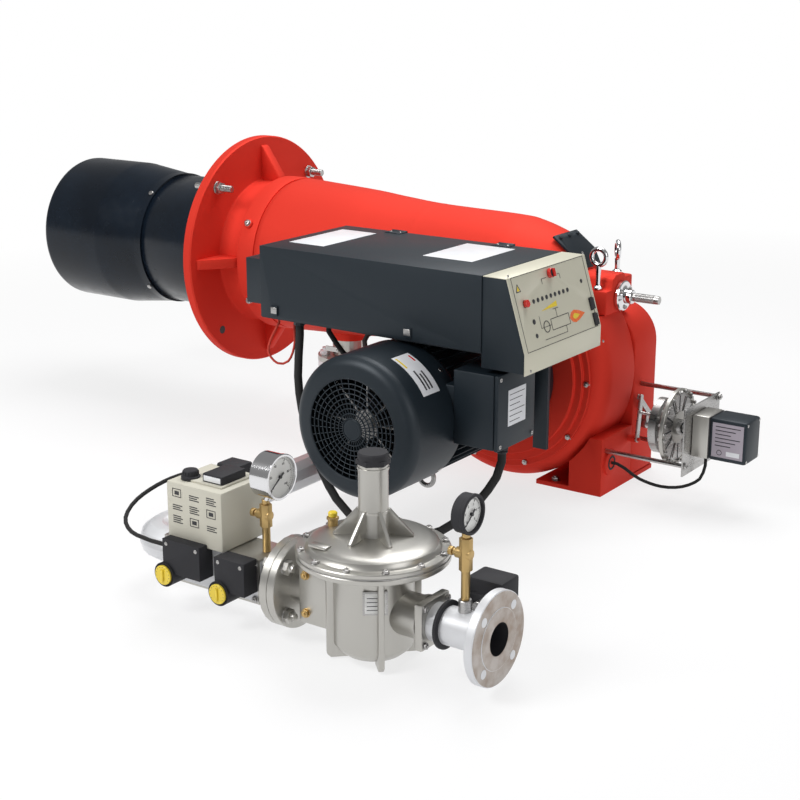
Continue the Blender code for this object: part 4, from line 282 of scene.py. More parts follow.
class Piece:
    """One visible piece, made of closed shells that may differ in finish."""

    def __init__(self, name: str) -> None:
        """Start an empty piece.

        Args:
            name: Name of the finished object.
        """
        self.name = name
        self.mesh = bmesh.new()
        self.finishes: list[Finish] = []

    def index(self, finish: Finish) -> int:
        """Return the material index of a finish, adding it where it is new."""
        if finish not in self.finishes:
            self.finishes.append(finish)
        return self.finishes.index(finish)

    def take(self, shell: bmesh.types.BMesh, place: Matrix, finish: Finish) -> None:
        """Move a shell into place and add it to the piece.

        Args:
            shell: Closed shell in its own frame; it is freed here.
            place: Where it goes.
            finish: Its finish.
        """
        bmesh.ops.transform(shell, matrix=place, verts=shell.verts)
        bmesh.ops.recalc_face_normals(shell, faces=shell.faces)
        index = self.index(finish)
        for face in shell.faces:
            face.material_index = index
        held = bpy.data.meshes.new("held")
        shell.to_mesh(held)
        shell.free()
        self.mesh.from_mesh(held)
        bpy.data.meshes.remove(held)

    def turned(self, profile: Outline, place: Matrix, finish: Finish, steps: int = 80,
               cuts: Sequence[tuple[Point, Point]] = ()) -> None:
        """Add a closed turned shell.

        Args:
            profile: Closed outline as (radius, height) pairs.
            place: Placement of its local Z axis.
            finish: Its finish.
            steps: Sides of the circle.
            cuts: Planes as (point, normal) in the row frame; what lies on the normal's side goes.
        """
        shell = bmesh.new()
        ring = [shell.verts.new((r, 0.0, h)) for r, h in profile]
        edges = [shell.edges.new((a, b)) for a, b in zip(ring, ring[1:] + ring[:1])
                 if max(a.co.x, b.co.x) > 1e-7]
        bmesh.ops.spin(shell, geom=ring + edges, cent=(0, 0, 0), axis=(0, 0, 1),
                       angle=2 * pi, steps=steps, use_merge=True, use_duplicate=False)
        bmesh.ops.remove_doubles(shell, verts=shell.verts, dist=WELD)
        if cuts:
            bmesh.ops.transform(shell, matrix=place, verts=shell.verts)
            place = Matrix.Identity(4)
        for point, normal in cuts:
            geometry = shell.verts[:] + shell.edges[:] + shell.faces[:]
            bmesh.ops.bisect_plane(shell, geom=geometry, plane_co=point, plane_no=normal,
                                   clear_outer=True)
            open_edges = [edge for edge in shell.edges if edge.is_boundary]
            bmesh.ops.triangle_fill(shell, edges=open_edges, use_beauty=True)
        self.take(shell, place, finish)

    def slab(self, outline: Outline, start: float, end: float, place: Matrix, finish: Finish,
             bevel: float = 0.0) -> None:
        """Add an outline extruded along its local Z.

        Args:
            outline: Corners on local XY.
            start: Local height of one face.
            end: Local height of the other.
            place: Placement.
            finish: Its finish.
            bevel: Width of the edge rounding.
        """
        shell = bmesh.new()
        face = shell.faces.new([shell.verts.new((x, y, start)) for x, y in outline])
        grown = bmesh.ops.extrude_face_region(shell, geom=[face])["geom"]
        corners = [item for item in grown if isinstance(item, bmesh.types.BMVert)]
        bmesh.ops.translate(shell, vec=(0, 0, end - start), verts=corners)
        self.round_edges(shell, bevel)
        self.take(shell, place, finish)

    def block(self, low: Sequence[float], high: Sequence[float], finish: Finish,
              bevel: float = .0008, place: Matrix = Matrix.Identity(4)) -> None:
        """Add a box with softened edges.

        Args:
            low: Its lowest corner.
            high: Its highest corner.
            finish: Its finish.
            bevel: Width of the edge rounding.
            place: Placement.
        """
        low, high = Vector(low), Vector(high)
        shell = bmesh.new()
        bmesh.ops.create_cube(shell, size=1.0)
        bmesh.ops.scale(shell, vec=high - low, verts=shell.verts)
        bmesh.ops.translate(shell, vec=(low + high) / 2, verts=shell.verts)
        self.round_edges(shell, bevel)
        self.take(shell, place, finish)

    @staticmethod
    def round_edges(shell: bmesh.types.BMesh, width: float, segments: int = 2) -> None:
        """Bevel every edge whose faces meet at more than the smoothing angle.

        Args:
            shell: Shell to work on.
            width: Width of the bevel; nothing is done at 0.
            segments: Faces across it.
        """
        if width <= 0:
            return
        shell.normal_update()
        sharp = [edge for edge in shell.edges
                 if len(edge.link_faces) == 2 and edge.calc_face_angle() > SMOOTH_ANGLE]
        bmesh.ops.bevel(shell, geom=sharp, offset=width, offset_type="OFFSET", affect="EDGES",
                        segments=segments, profile=.5, material=-1, clamp_overlap=True)

    def rod(self, start: Sequence[float], end: Sequence[float], radius: float, finish: Finish,
            steps: int = 40, edge: float = .0006) -> None:
        """Add a round rod with chamfered ends.

        Args:
            start: One end.
            end: The other end.
            radius: Its radius.
            finish: Its finish.
            steps: Sides of the circle.
            edge: Chamfer of both ends.
        """
        along = Vector(end) - Vector(start)
        length = along.length
        edge = min(edge, radius * .4, length * .4)
        self.turned([(0, 0), (radius - edge, 0), (radius, edge), (radius, length - edge),
                     (radius - edge, length), (0, length)], stand(start, along), finish, steps)

    def tube(self, start: Sequence[float], end: Sequence[float], outer: float, inner: float,
             finish: Finish, steps: int = 64) -> None:
        """Add a round tube between two points."""
        along = Vector(end) - Vector(start)
        length = along.length
        edge = min(.001, (outer - inner) * .3)
        self.turned([(inner, 0), (outer - edge, 0), (outer, edge), (outer, length - edge),
                     (outer - edge, length), (inner, length)], stand(start, along), finish, steps)

    def ring(self, centre: Sequence[float], along: Vector, radius: float, wire: float,
             finish: Finish, steps: int = 48, wire_steps: int = 14) -> None:
        """Add a round-section ring about an axis."""
        turns = [2 * pi * i / wire_steps for i in range(wire_steps)]
        circle = [(radius + wire * cos(turn), wire * sin(turn)) for turn in turns]
        self.turned(circle, stand(centre, along), finish, steps)

    def nut(self, at: Sequence[float], along: Vector, radius: float, height: float,
            finish: Finish, turn: float = 0.0) -> None:
        """Add a hexagon with a rounded crown.

        Args:
            at: Middle of its seat.
            along: Direction that it stands in.
            radius: Radius over its corners.
            height: Its height.
            finish: Its finish.
            turn: Degrees that it is turned.
        """
        shell = bmesh.new()
        bmesh.ops.create_cone(shell, segments=6, radius1=radius, radius2=radius, depth=height,
                              cap_ends=True, matrix=Matrix.Translation((0, 0, height / 2))
                              @ Matrix.Rotation(radians(turn), 4, "Z"))
        self.round_edges(shell, min(.0012, radius * .1), 2)
        self.take(shell, stand(at, along), finish)

    def bolt(self, at: Sequence[float], along: Vector, radius: float, finish: Finish,
             turn: float = 0.0) -> None:
        """Add a washer, a hexagon head and a thread's end, as a bolt shows them."""
        along = along.normalized()
        at = Vector(at)
        washer = radius * .14
        self.rod(at, at + along * washer, radius * 1.16, finish, 28)
        self.nut(at + along * washer, along, radius, radius * .72, finish, turn)
        self.rod(at + along * radius * .8, at + along * radius * 1.18, radius * .46, finish, 20)

    def copied(self, node: str, finish: Finish, bevel: float = 0.0) -> None:
        """Add a merged copy of a frame node, with rounded edges.

        Args:
            node: Name of the node.
            finish: Its finish.
            bevel: Width of the edge rounding.
        """
        shell = bmesh.new()
        shell.from_mesh(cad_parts[node].data)
        bmesh.ops.remove_doubles(shell, verts=shell.verts, dist=WELD)
        bmesh.ops.dissolve_limit(shell, angle_limit=MERGE_ANGLE, verts=shell.verts,
                                 edges=shell.edges)
        self.round_edges(shell, bevel)
        self.take(shell, Matrix.Identity(4), finish)

    def words(self, text: str, size: float, place: Matrix, finish: Finish,
              lift: float = .0002) -> None:
        """Add figures as a thin raised print.

        Args:
            text: Figures to print.
            size: Height of the type.
            place: Placement of its middle; local Z faces the reader.
            finish: Its finish.
            lift: How far it stands proud.
        """
        curve = bpy.data.curves.new("words", "FONT")
        curve.body, curve.size, curve.extrude = text, size, lift
        curve.align_x, curve.align_y = "CENTER", "CENTER"
        curve.resolution_u = 3
        carrier = bpy.data.objects.new("words", curve)
        bpy.context.scene.collection.objects.link(carrier)
        bpy.context.view_layer.update()
        flat = bpy.data.meshes.new_from_object(
            carrier.evaluated_get(bpy.context.evaluated_depsgraph_get()))
        shell = bmesh.new()
        shell.from_mesh(flat)
        bmesh.ops.remove_doubles(shell, verts=shell.verts, dist=WELD)
        bpy.data.objects.remove(carrier)
        bpy.data.curves.remove(curve)
        bpy.data.meshes.remove(flat)
        self.take(shell, place, finish)

    def finish(self, body: str = ROOT, *replaced: str) -> bpy.types.Object:
        """Make the object, and hang it on its body.

        Args:
            body: Body of the frame that it rides on.
            *replaced: Frame nodes that it stands for.

        Returns:
            The finished object.
        """
        mesh = bpy.data.meshes.new(self.name)
        self.mesh.to_mesh(mesh)
        self.mesh.free()
        mesh.shade_smooth()
        mesh.set_sharp_from_angle(angle=SMOOTH_ANGLE)
        for finish in self.finishes:
            mesh.materials.append(finish.material())
        made = bpy.data.objects.new(self.name, mesh)
        bpy.context.scene.collection.objects.link(made)
        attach(made, body)
        if replaced:
            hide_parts(*replaced)
        log.info("%s: %d faces on %s", self.name, len(mesh.polygons), body)
        return made


def copy_node(name: str, node: str, body: str, finish: Finish, bevel: float = 0.0) -> None:
    """Build a piece that is one frame node with rounded edges.

    Args:
        name: Name of the piece.
        node: Node that it stands for.
        body: Body that it rides on.
        finish: Its finish.
        bevel: Width of the edge rounding.
    """
    piece = Piece(name)
    piece.copied(node, finish, bevel)
    piece.finish(body, node)


def loose(text: str) -> list[Vector]:
    """Return route points written in millimetres as x,y,z triples."""
    return [Vector([float(v) / 1000 for v in triple.split(",")]) for triple in text.split()]


@dataclass
class Studio:
    """Camera, floor and soft lamps."""

    camera_at: Point = (1.8, -3.45, 1.32)
    camera_along: Point = (-.5525, .786, -.2773)
    lens: float = 69.75
    floor_radius: float = 30.0
    fade_from: tuple[float, float] = (1.6, 4.0)
    fade_to: tuple[float, float] = (.74, 1.0)
    world_level: float = .27
    aim_at: Point = (-.5, -.4, .4)
    lamps: tuple[tuple[str, Point, float, float], ...] = (
        ("key", (-1.6, -3.6, 3.2), 112.0, 1.6),
        ("fill", (3.2, -1.6, 1.9), 24.0, 1.8),
        ("top", (-.4, .8, 3.6), 108.0, 2.4),
    )

    def build(self) -> None:
        """Set up the view, the floor and the light."""
        self.build_camera()
        self.build_floor()
        self.build_lamps()

    def build_camera(self) -> None:
        """Place the camera where the photograph was taken from."""
        lens = bpy.data.cameras.new("camera")
        lens.lens, lens.sensor_width, lens.clip_end = self.lens, 36.0, 100.0
        camera = bpy.data.objects.new("camera", lens)
        camera.location = self.camera_at
        camera.rotation_euler = Vector(self.camera_along).to_track_quat("-Z", "Y").to_euler()
        bpy.context.scene.collection.objects.link(camera)
        bpy.context.scene.camera = camera

    def build_floor(self) -> None:
        """Lay a pale round floor that still takes the burner's shadow."""
        shell = bmesh.new()
        bmesh.ops.create_circle(shell, cap_ends=True, radius=self.floor_radius, segments=64,
                                matrix=Matrix.Translation((0, 0, -.001)))
        mesh = bpy.data.meshes.new("floor")
        shell.to_mesh(mesh)
        shell.free()
        made = bpy.data.materials.new("floor_white")
        shading = Shading(made)
        shader = shading.fill(shading.nodes["Principled BSDF"],
                              {"Base Color": (.86, .86, .87, 1), "Roughness": .9})
        path = shading.add("LightPath")
        seen = shading.add("Math", {0: path.outputs["Is Camera Ray"],
                                    1: path.outputs["Is Glossy Ray"]})
        seen.operation = "MAXIMUM"
        far = shading.add("VectorMath", {0: shading.add("TexCoord").outputs["Object"]})
        far.operation = "LENGTH"
        share = shading.add("Math", {0: seen.outputs[0], 1: shading.spread(
            far.outputs["Value"], self.fade_from, self.fade_to)})
        share.operation = "MULTIPLY"
        mix = shading.add("MixShader", {"Fac": share.outputs[0], 1: shader.outputs[0],
                                        2: shading.add("Emission").outputs[0]})
        shading.fill(shading.nodes["Material Output"], {"Surface": mix.outputs[0]})
        mesh.materials.append(made)
        floor = bpy.data.objects.new("floor", mesh)
        bpy.context.scene.collection.objects.link(floor)

    def build_lamps(self) -> None:
        """Light the burner softly from the front left, the right and above."""
        scene = bpy.context.scene
        scene.view_settings.view_transform = "Standard"
        world = bpy.data.worlds.new("world")
        scene.world = world
        shading = Shading(world)
        seen = shading.add("LightPath").outputs["Is Camera Ray"]
        shading.fill(shading.nodes["Background"], {
            "Color": (1, 1, 1, 1),
            "Strength": shading.spread(seen, (0.0, 1.0), (self.world_level, 1.0))})
        for name, at, power, size in self.lamps:
            lamp = bpy.data.lights.new(name, "AREA")
            lamp.energy, lamp.size = power, size
            holder = bpy.data.objects.new(name, lamp)
            holder.location = at
            aim = Vector(self.aim_at) - Vector(at)
            holder.rotation_euler = aim.to_track_quat("-Z", "Y").to_euler()
            scene.collection.objects.link(holder)


class Stiffness(Enum):
    """How readily a cord bends."""

    MEDIUM = "medium"
    STIFF = "stiff"


@dataclass(frozen=True)
class CordRoute:
    """A cord's node, its route in millimetres, its radius and its finish."""

    name: str
    node: str
    route: str
    radius: float
    finish: Finish
    stiffness: Stiffness


@dataclass
class Cords:
    """The free cords, each on one smooth curve."""

    routes: tuple[CordRoute, ...] = (
        CordRoute("motor_conduit_hose", "motor_conduit",
                  "-500,-600,454.7 -500,-600,430 -496,-615,330 -474,-630,255 -440,-645,190"
                  " -391,-660,118 -345,-665,60 -300,-665,24 -220,-662,12.5 -150,-660,12.5"
                  " -76,-660,26 -21,-655,60 26,-620,112 46,-570,165 47,-550,198 47,-550,217.4",
                  .0102, RUBBER, Stiffness.STIFF),
        CordRoute("ignition_lead", "ignition_cable",
                  "-450,-550,454.7 -450,-550,435 -444,-500,372 -450,-420,322 -480,-340,292"
                  " -530,-262,274 -588,-208,284 -620,-174.2,310.8 -620,-160.1,324.9",
                  .0065, RUBBER, Stiffness.MEDIUM),
        CordRoute("sensing_tube", "sensing_hose",
                  "-560,-605,468.7 -560,-605,455 -580,-618,405 -582,-620,375 -562,-612,352"
                  " -538,-600,358 -528,-588,395 -534,-578,450 -534,-578,468.7",
                  .003, RED_RUBBER, Stiffness.MEDIUM),
        CordRoute("valve_lead", "valve_cable",
                  "-297.3,-1108,258 -330,-1108,258 -385,-1115,246 -440,-1150,222"
                  " -468,-1205,192 -455,-1255,168 -415,-1279,152 -360,-1280,145 -312.8,-1280,145",
                  .0045, RUBBER, Stiffness.MEDIUM),
        CordRoute("servo_lead", "servo_cable",
                  "328,-45,122.7 328,-45,104 318,-52,68 280,-68,45 230,-84,40 175,-94,52"
                  " 135,-99,74 114,-100,82 99.6,-100,82",
                  .004, RUBBER, Stiffness.MEDIUM),
    )

    def build(self) -> None:
        """Build each cord and hide the frame node that it stands for."""
        for cord in self.routes:
            points = loose(cord.route)
            line = [points[0], *self.smooth(points[1:-1], 4 * cord.radius), points[-1]]
            curve = bpy.data.curves.new(cord.name, "CURVE")
            curve.dimensions, curve.bevel_depth = "3D", cord.radius
            curve.bevel_resolution, curve.use_fill_caps = 4, True
            spline = curve.splines.new("POLY")
            spline.points.add(len(line) - 1)
            for point, at in zip(spline.points, line):
                point.co = (*at, 1)
            curve.materials.append(cord.finish.material())
            made = bpy.data.objects.new(cord.name, curve)
            bpy.context.scene.collection.objects.link(made)
            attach(made, ROOT)
            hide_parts(cord.node)

    @staticmethod
    def smooth(points: Sequence[Vector], step: float) -> list[Vector]:
        """Run a smooth curve through a route.

        Args:
            points: Points that it passes.
            step: Rough distance between the points returned.

        Returns:
            Points on the curve, with both ends.
        """
        ends = [2 * points[0] - points[1], *points, 2 * points[-1] - points[-2]]
        line = [points[0]]
        for before, a, b, after in zip(ends, ends[1:], ends[2:], ends[3:]):
            steps = max(1, round((b - a).length / step))
            for i in range(1, steps + 1):
                t = i / steps
                line.append(.5 * (2 * a + (b - before) * t
                                   + (2 * before - 5 * a + 4 * b - after) * t * t
                                   + (3 * a - before - 3 * b + after) * t ** 3))
        return line


@dataclass
class BlastHead:
    """Flame sleeve, blast tube and mounting flange."""

    axis_z: float = BURNER_AXIS_Z
    face_x: float = -1.133
    stud_circle: float = .288
    rib_root: float = .2
    rib_tip: float = .3
    sleeve: Outline = ((.2055, -1.812), (.209, -1.8115), (.212, -1.808), (.214, -1.803),
                       (.2145, -1.797), (.2145, -1.6), (.214, -1.59), (.2125, -1.581),
                       (.1975, -1.461), (.1962, -1.455), (.1955, -1.449), (.1955, -1.425),
                       (.1903, -1.425), (.1903, -1.473), (.2055, -1.585), (.2085, -1.599),
                       (.2085, -1.794), (.2065, -1.8), (.2025, -1.806), (.2015, -1.812))

    @property
    def line(self) -> Matrix:
        """Placement of the burner's axis, with local Z on world X."""
        return stand((0, 0, self.axis_z), X)

    def build(self) -> None:
        """Build the head."""
        sleeve = Piece("flame_tube_sleeve")
        sleeve.turned(self.sleeve, self.line, SOOT, 128)
        middle = Vector((-1.437, 0, self.axis_z))
        for at in on_circle(middle, X, .1945, 40):
            out = (at - middle).normalized()
            sleeve.rod(at, at + out * .006, .0075, STEEL, 24, .0015)
        sleeve.finish(ROOT, "flame_sleeve")
        tube = Piece("blast_tube_shell")
        tube.turned([(.1845, -1.4729), (.1895, -1.4729), (.19, -1.472), (.19, -1.1395),
                     (.204, -1.1392), (.205, -1.138), (.205, -1.1335), (.1845, -1.1335)],
                    self.line, SOOT, 128)
        tube.finish(ROOT, "blast_tube")
        self.build_flange()

    def build_flange(self) -> None:
        """Build the red mounting flange with its ribs, studs and nuts."""
        flange = Piece("boiler_flange")
        flange.turned([(.184, -1.1329), (.325, -1.1329), (.328, -1.13), (.328, -1.108),
                       (.325, -1.1041), (.214, -1.1041), (.208, -1.102), (.205, -1.097),
                       (.205, -1.0312), (.184, -1.0312)], self.line, RED, 144)
        for turn in range(0, 360, 90):
            place = spun((0, 0, self.axis_z), turn, "X") @ lay_xz((0, -.014, 0))
            flange.slab([(-1.106, self.rib_root), (-1.033, self.rib_root), (-1.033, .207),
                         (-1.04, .222), (-1.096, self.rib_tip), (-1.106, self.rib_tip + .004)],
                        0.0, .028, place, RED, .003)
        centre = (self.face_x, 0, self.axis_z)
        for turn in (45, -45):
            at = around(centre, X, self.stud_circle, turn)
            flange.rod(at - X * .052, at + X * .081, .0088, STEEL, 32, .002)
            for i in range(14):
                flange.ring(at + X * (.047 + .0025 * i), X, .0088, .0008, STEEL, 24, 6)
            flange.rod(at + X * .0288, at + X * .0312, .0185, STEEL, 32)
            flange.nut(at + X * .031, X, .0168, .014, STEEL, 15)
        # The two empty stud holes get black discs: painted shade in the holes.
        for turn in (135, 225):
            at = around(centre, X, self.stud_circle, turn)
            flange.rod(at - X * .0003, at + X * .0292, .0115, PRINT_AND_SHADE_BLACK, 40, .0002)
        flange.finish(ROOT, "mounting_flange")


@dataclass
class CastBody:
    """Red air duct, scroll, air box and foot, with what is bolted on them."""

    axis_z: float = BURNER_AXIS_Z
    fan_x: float = FAN_X
    fan_z: float = FAN_Z
    join_z: float = .45
    wall: float = .008
    shoulder: Outline = ((-.98, .205), (-.965, .216), (-.865, .212), (-.725, .204),
                         (-.625, .195), (-.495, .186), (-.265, .181), (-.2, .174),
                         (-.125, .152), (-.085, .131), (-.055, .103), (-.036, .07))

    def build(self) -> None:
        """Build the castings and their small parts."""
        self.build_duct()
        self.build_scroll()
        self.build_air_box()
        self.build_cover()
        self.build_bush()
        self.build_eyes()

    def build_duct(self) -> None:
        """Build the tapering duct with its rounded shoulder and bosses."""
        duct = Piece("air_duct_casting")
        smooth = Cords.smooth([Vector((x, r, 0)) for x, r in self.shoulder], .012)
        outer = [(.205, -1.0307), *((p.y, p.x) for p in smooth), (.05, -.0315), (0, -.03)]
        line = stand((0, 0, self.axis_z), X)
        split = -.5
        front = [(r, x) for r, x in outer if x < split]
        rear = [(r, x) for r, x in outer if x > split]
        middle = (.1865, split)
        duct.turned([*front, middle, (middle[0] - self.wall, split),
                     *((r - self.wall, x) for r, x in reversed(front))], line, RED, 128)
        duct.turned([middle, *rear, (0, -.038),
                     *((max(r - self.wall, .01), min(x, -.04)) for r, x in reversed(rear[:-2])),
                     (middle[0] - self.wall, split)], line, RED, 128,
                    [((0, 0, self.join_z), (0, 0, -1))])
        duct.turned([(.196, -1.0306), (.216, -1.0306), (.2185, -1.028), (.2185, -.984),
                     (.216, -.975), (.196, -.975)], line, RED, 128)
        boss = [(-.078, .45), (.062, .45), (.062, .536), (.024, .536), (.018, .547),
                (-.028, .547), (-.044, .537), (-.048, .512), (-.078, .512)]
        duct.slab(boss, -.062, .055, lay_yz(), RED, .005)
        for x in (-.43, -.1):
            duct.rod((x, -.15, .58), (x, -.2907, .58), .018, RED, 40, .002)
        rim = Vector((-1.005, 0, self.axis_z))
        for degrees in (60, 118):
            at = around(rim, X, .212, degrees)
            out = (at - rim).normalized()
            duct.rod(at, at + out * .014, .013, RED, 32, .002)
            duct.bolt(at + out * .013, out, .0085, STEEL, 12)
        duct.tube((-.8, 0, .262), (-.8, 0, .345), .056, .042, RED, 64)
        down = Vector((0, -1, -1)).normalized()
        gland = Vector((-.62, 0, self.axis_z))
        duct.rod(gland + down * .184, gland + down * .206, .0155, PLASTIC, 28, .002)
        duct.nut(gland + down * .205, down, .0145, .01, PLASTIC)
        duct.rod(gland + down * .214, gland + down * .2262, .0105, PLASTIC, 28, .003)
        duct.finish(ROOT, "body_duct")

    def build_scroll(self) -> None:
        """Build the fan's scroll with its rolled front rim."""
        fan = Matrix.Translation((self.fan_x, 0, self.fan_z)) @ Matrix.Rotation(-pi / 2, 4, "X")
        top = [((0, 0, .4497), (0, 0, 1))]
        scroll = Piece("scroll_casting")
        rim = arc((.24, -.1), .05, -90, 0, 12)
        scroll.turned([*rim, (.29, .012), (.2875, .018), (.284, .02),
                       (.276, .02), (.276, -.1), (.272, -.118), (.258, -.132), (.24, -.138)],
                      fan, RED, 144, top)
        scroll.turned([(0, .012), (.277, .012), (.277, .0199), (0, .0199)], fan, RED, 96, top)
        scroll.finish(ROOT, "scroll_housing")
        plate = Piece("motor_mounting_plate")
        plate.turned([(0, -.1503), (.253, -.1503), (.255, -.152), (.255, -.1585), (.2535, -.16),
                      (.2395, -.16), (.238, -.1615), (.238, -.1665), (.2365, -.168),
                      (.2195, -.168), (.218, -.1695), (.218, -.1745), (.2165, -.1762),
                      (0, -.1762)], fan, RED, 144, top)
        for i, at in enumerate(on_circle((self.fan_x, -.158, self.fan_z), -Y, .2465, 18, 10)):
            if at.z < .44:
                plate.bolt(at, -Y, .0075, STEEL, 11 * i)
        plate.finish(ROOT, "motor_plate")

    def build_air_box(self) -> None:
        """Build the air box with its intake grille, and the foot."""
        box = Piece("air_box_casting")
        outline = [(-.4, .0123), (.092, .0123), *arc((-.008, .3497), .1, 0, 90, 14),
                   (-.33, .4497), (-.4, .3597)]
        box.slab(outline, .0203, .146, lay_xz(), RED, .006)
        box.block((-.336, .1445, .028), (.046, .1465, .109), BLACK, .0006)
        for i in range(12):
            x = -.322 + .0325 * i
            box.block((x, .1455, .0343), (x + .006, .15, .103), BLACK, .001)
        for x, z in ((-.385, .03), (.078, .03), (-.385, .345), (.078, .335), (-.16, .436)):
            box.bolt((x, .1455, z), Y, .0085, STEEL, x * 900)
        box.finish(ROOT, "air_box")
        foot = Piece("foot_casting")
        foot.copied("base_foot", RED, .0025)
        foot.ring((.0975, -.1, .082), X, .016, .0035, PLASTIC, 40)
        for y in (-.12, .12):
            foot.bolt((-.05, y, .0118), Z, .01, STEEL, 9)
        foot.finish(ROOT, "base_foot")

    def build_cover(self) -> None:
        """Build the bent sight cover on the shoulder."""
        copy_node("sight_cover", "rear_cover", ROOT, BLACK, .0012)

    def build_bush(self) -> None:
        """Build the bright bush and the head's adjusting rod."""
        bush = Piece("adjusting_rod_bush")
        place = stand((0, 0, .49), X)
        bush.turned([(0, .0553), (.036, .0553), (.039, .0572), (.039, .0645), (.0365, .0671),
                     (.0215, .068), (.018, .07), (.018, .088), (.0165, .0898), (0, .09)],
                    place, CHROME, 96)
        for at in on_circle((.0672, 0, .49), X, .0285, 60, 3):
            bush.bolt(at, X, .0052, STEEL, 20)
        bush.finish(ROOT, "rod_bush")
        rod = Piece("head_rod_and_lance")
        rod.copied("gas_lance", STEEL)
        rod.turned([(0, .089), (.0105, .089), (.0105, .1585), (.0092, .1608), (0, .1618)],
                   place, STEEL, 48)
        for i in range(16):
            rod.ring((.1 + .0032 * i, 0, .49), X, .0104, .0009, STEEL, 32, 6)
        rod.finish("gas_head", "gas_lance")

    def build_eyes(self) -> None:
        """Build the two lifting eyes."""
        for i, (foot, rise, along) in enumerate((
            (Vector((.022, -.062, .5123)), .082, Y),
            (Vector((.02, .043, .5363)), .06, Vector((.82, .57, 0)).normalized()),
        ), 1):
            eye = Piece(f"lifting_eye_ring_{i}")
            middle = foot + Z * rise
            eye.ring(middle, along, .02, .0062, CHROME, 64, 20)
            eye.turned([(0, 0), (.0115, 0), (.0125, .0015), (.0125, .006), (.01, .0078),
                        (.007, .01), (.0062, .016), (.007, rise - .022), (0, rise - .02)],
                       stand(foot + Z * .0003, Z), CHROME, 48)
            eye.finish(ROOT, f"lifting_eye_{i}")


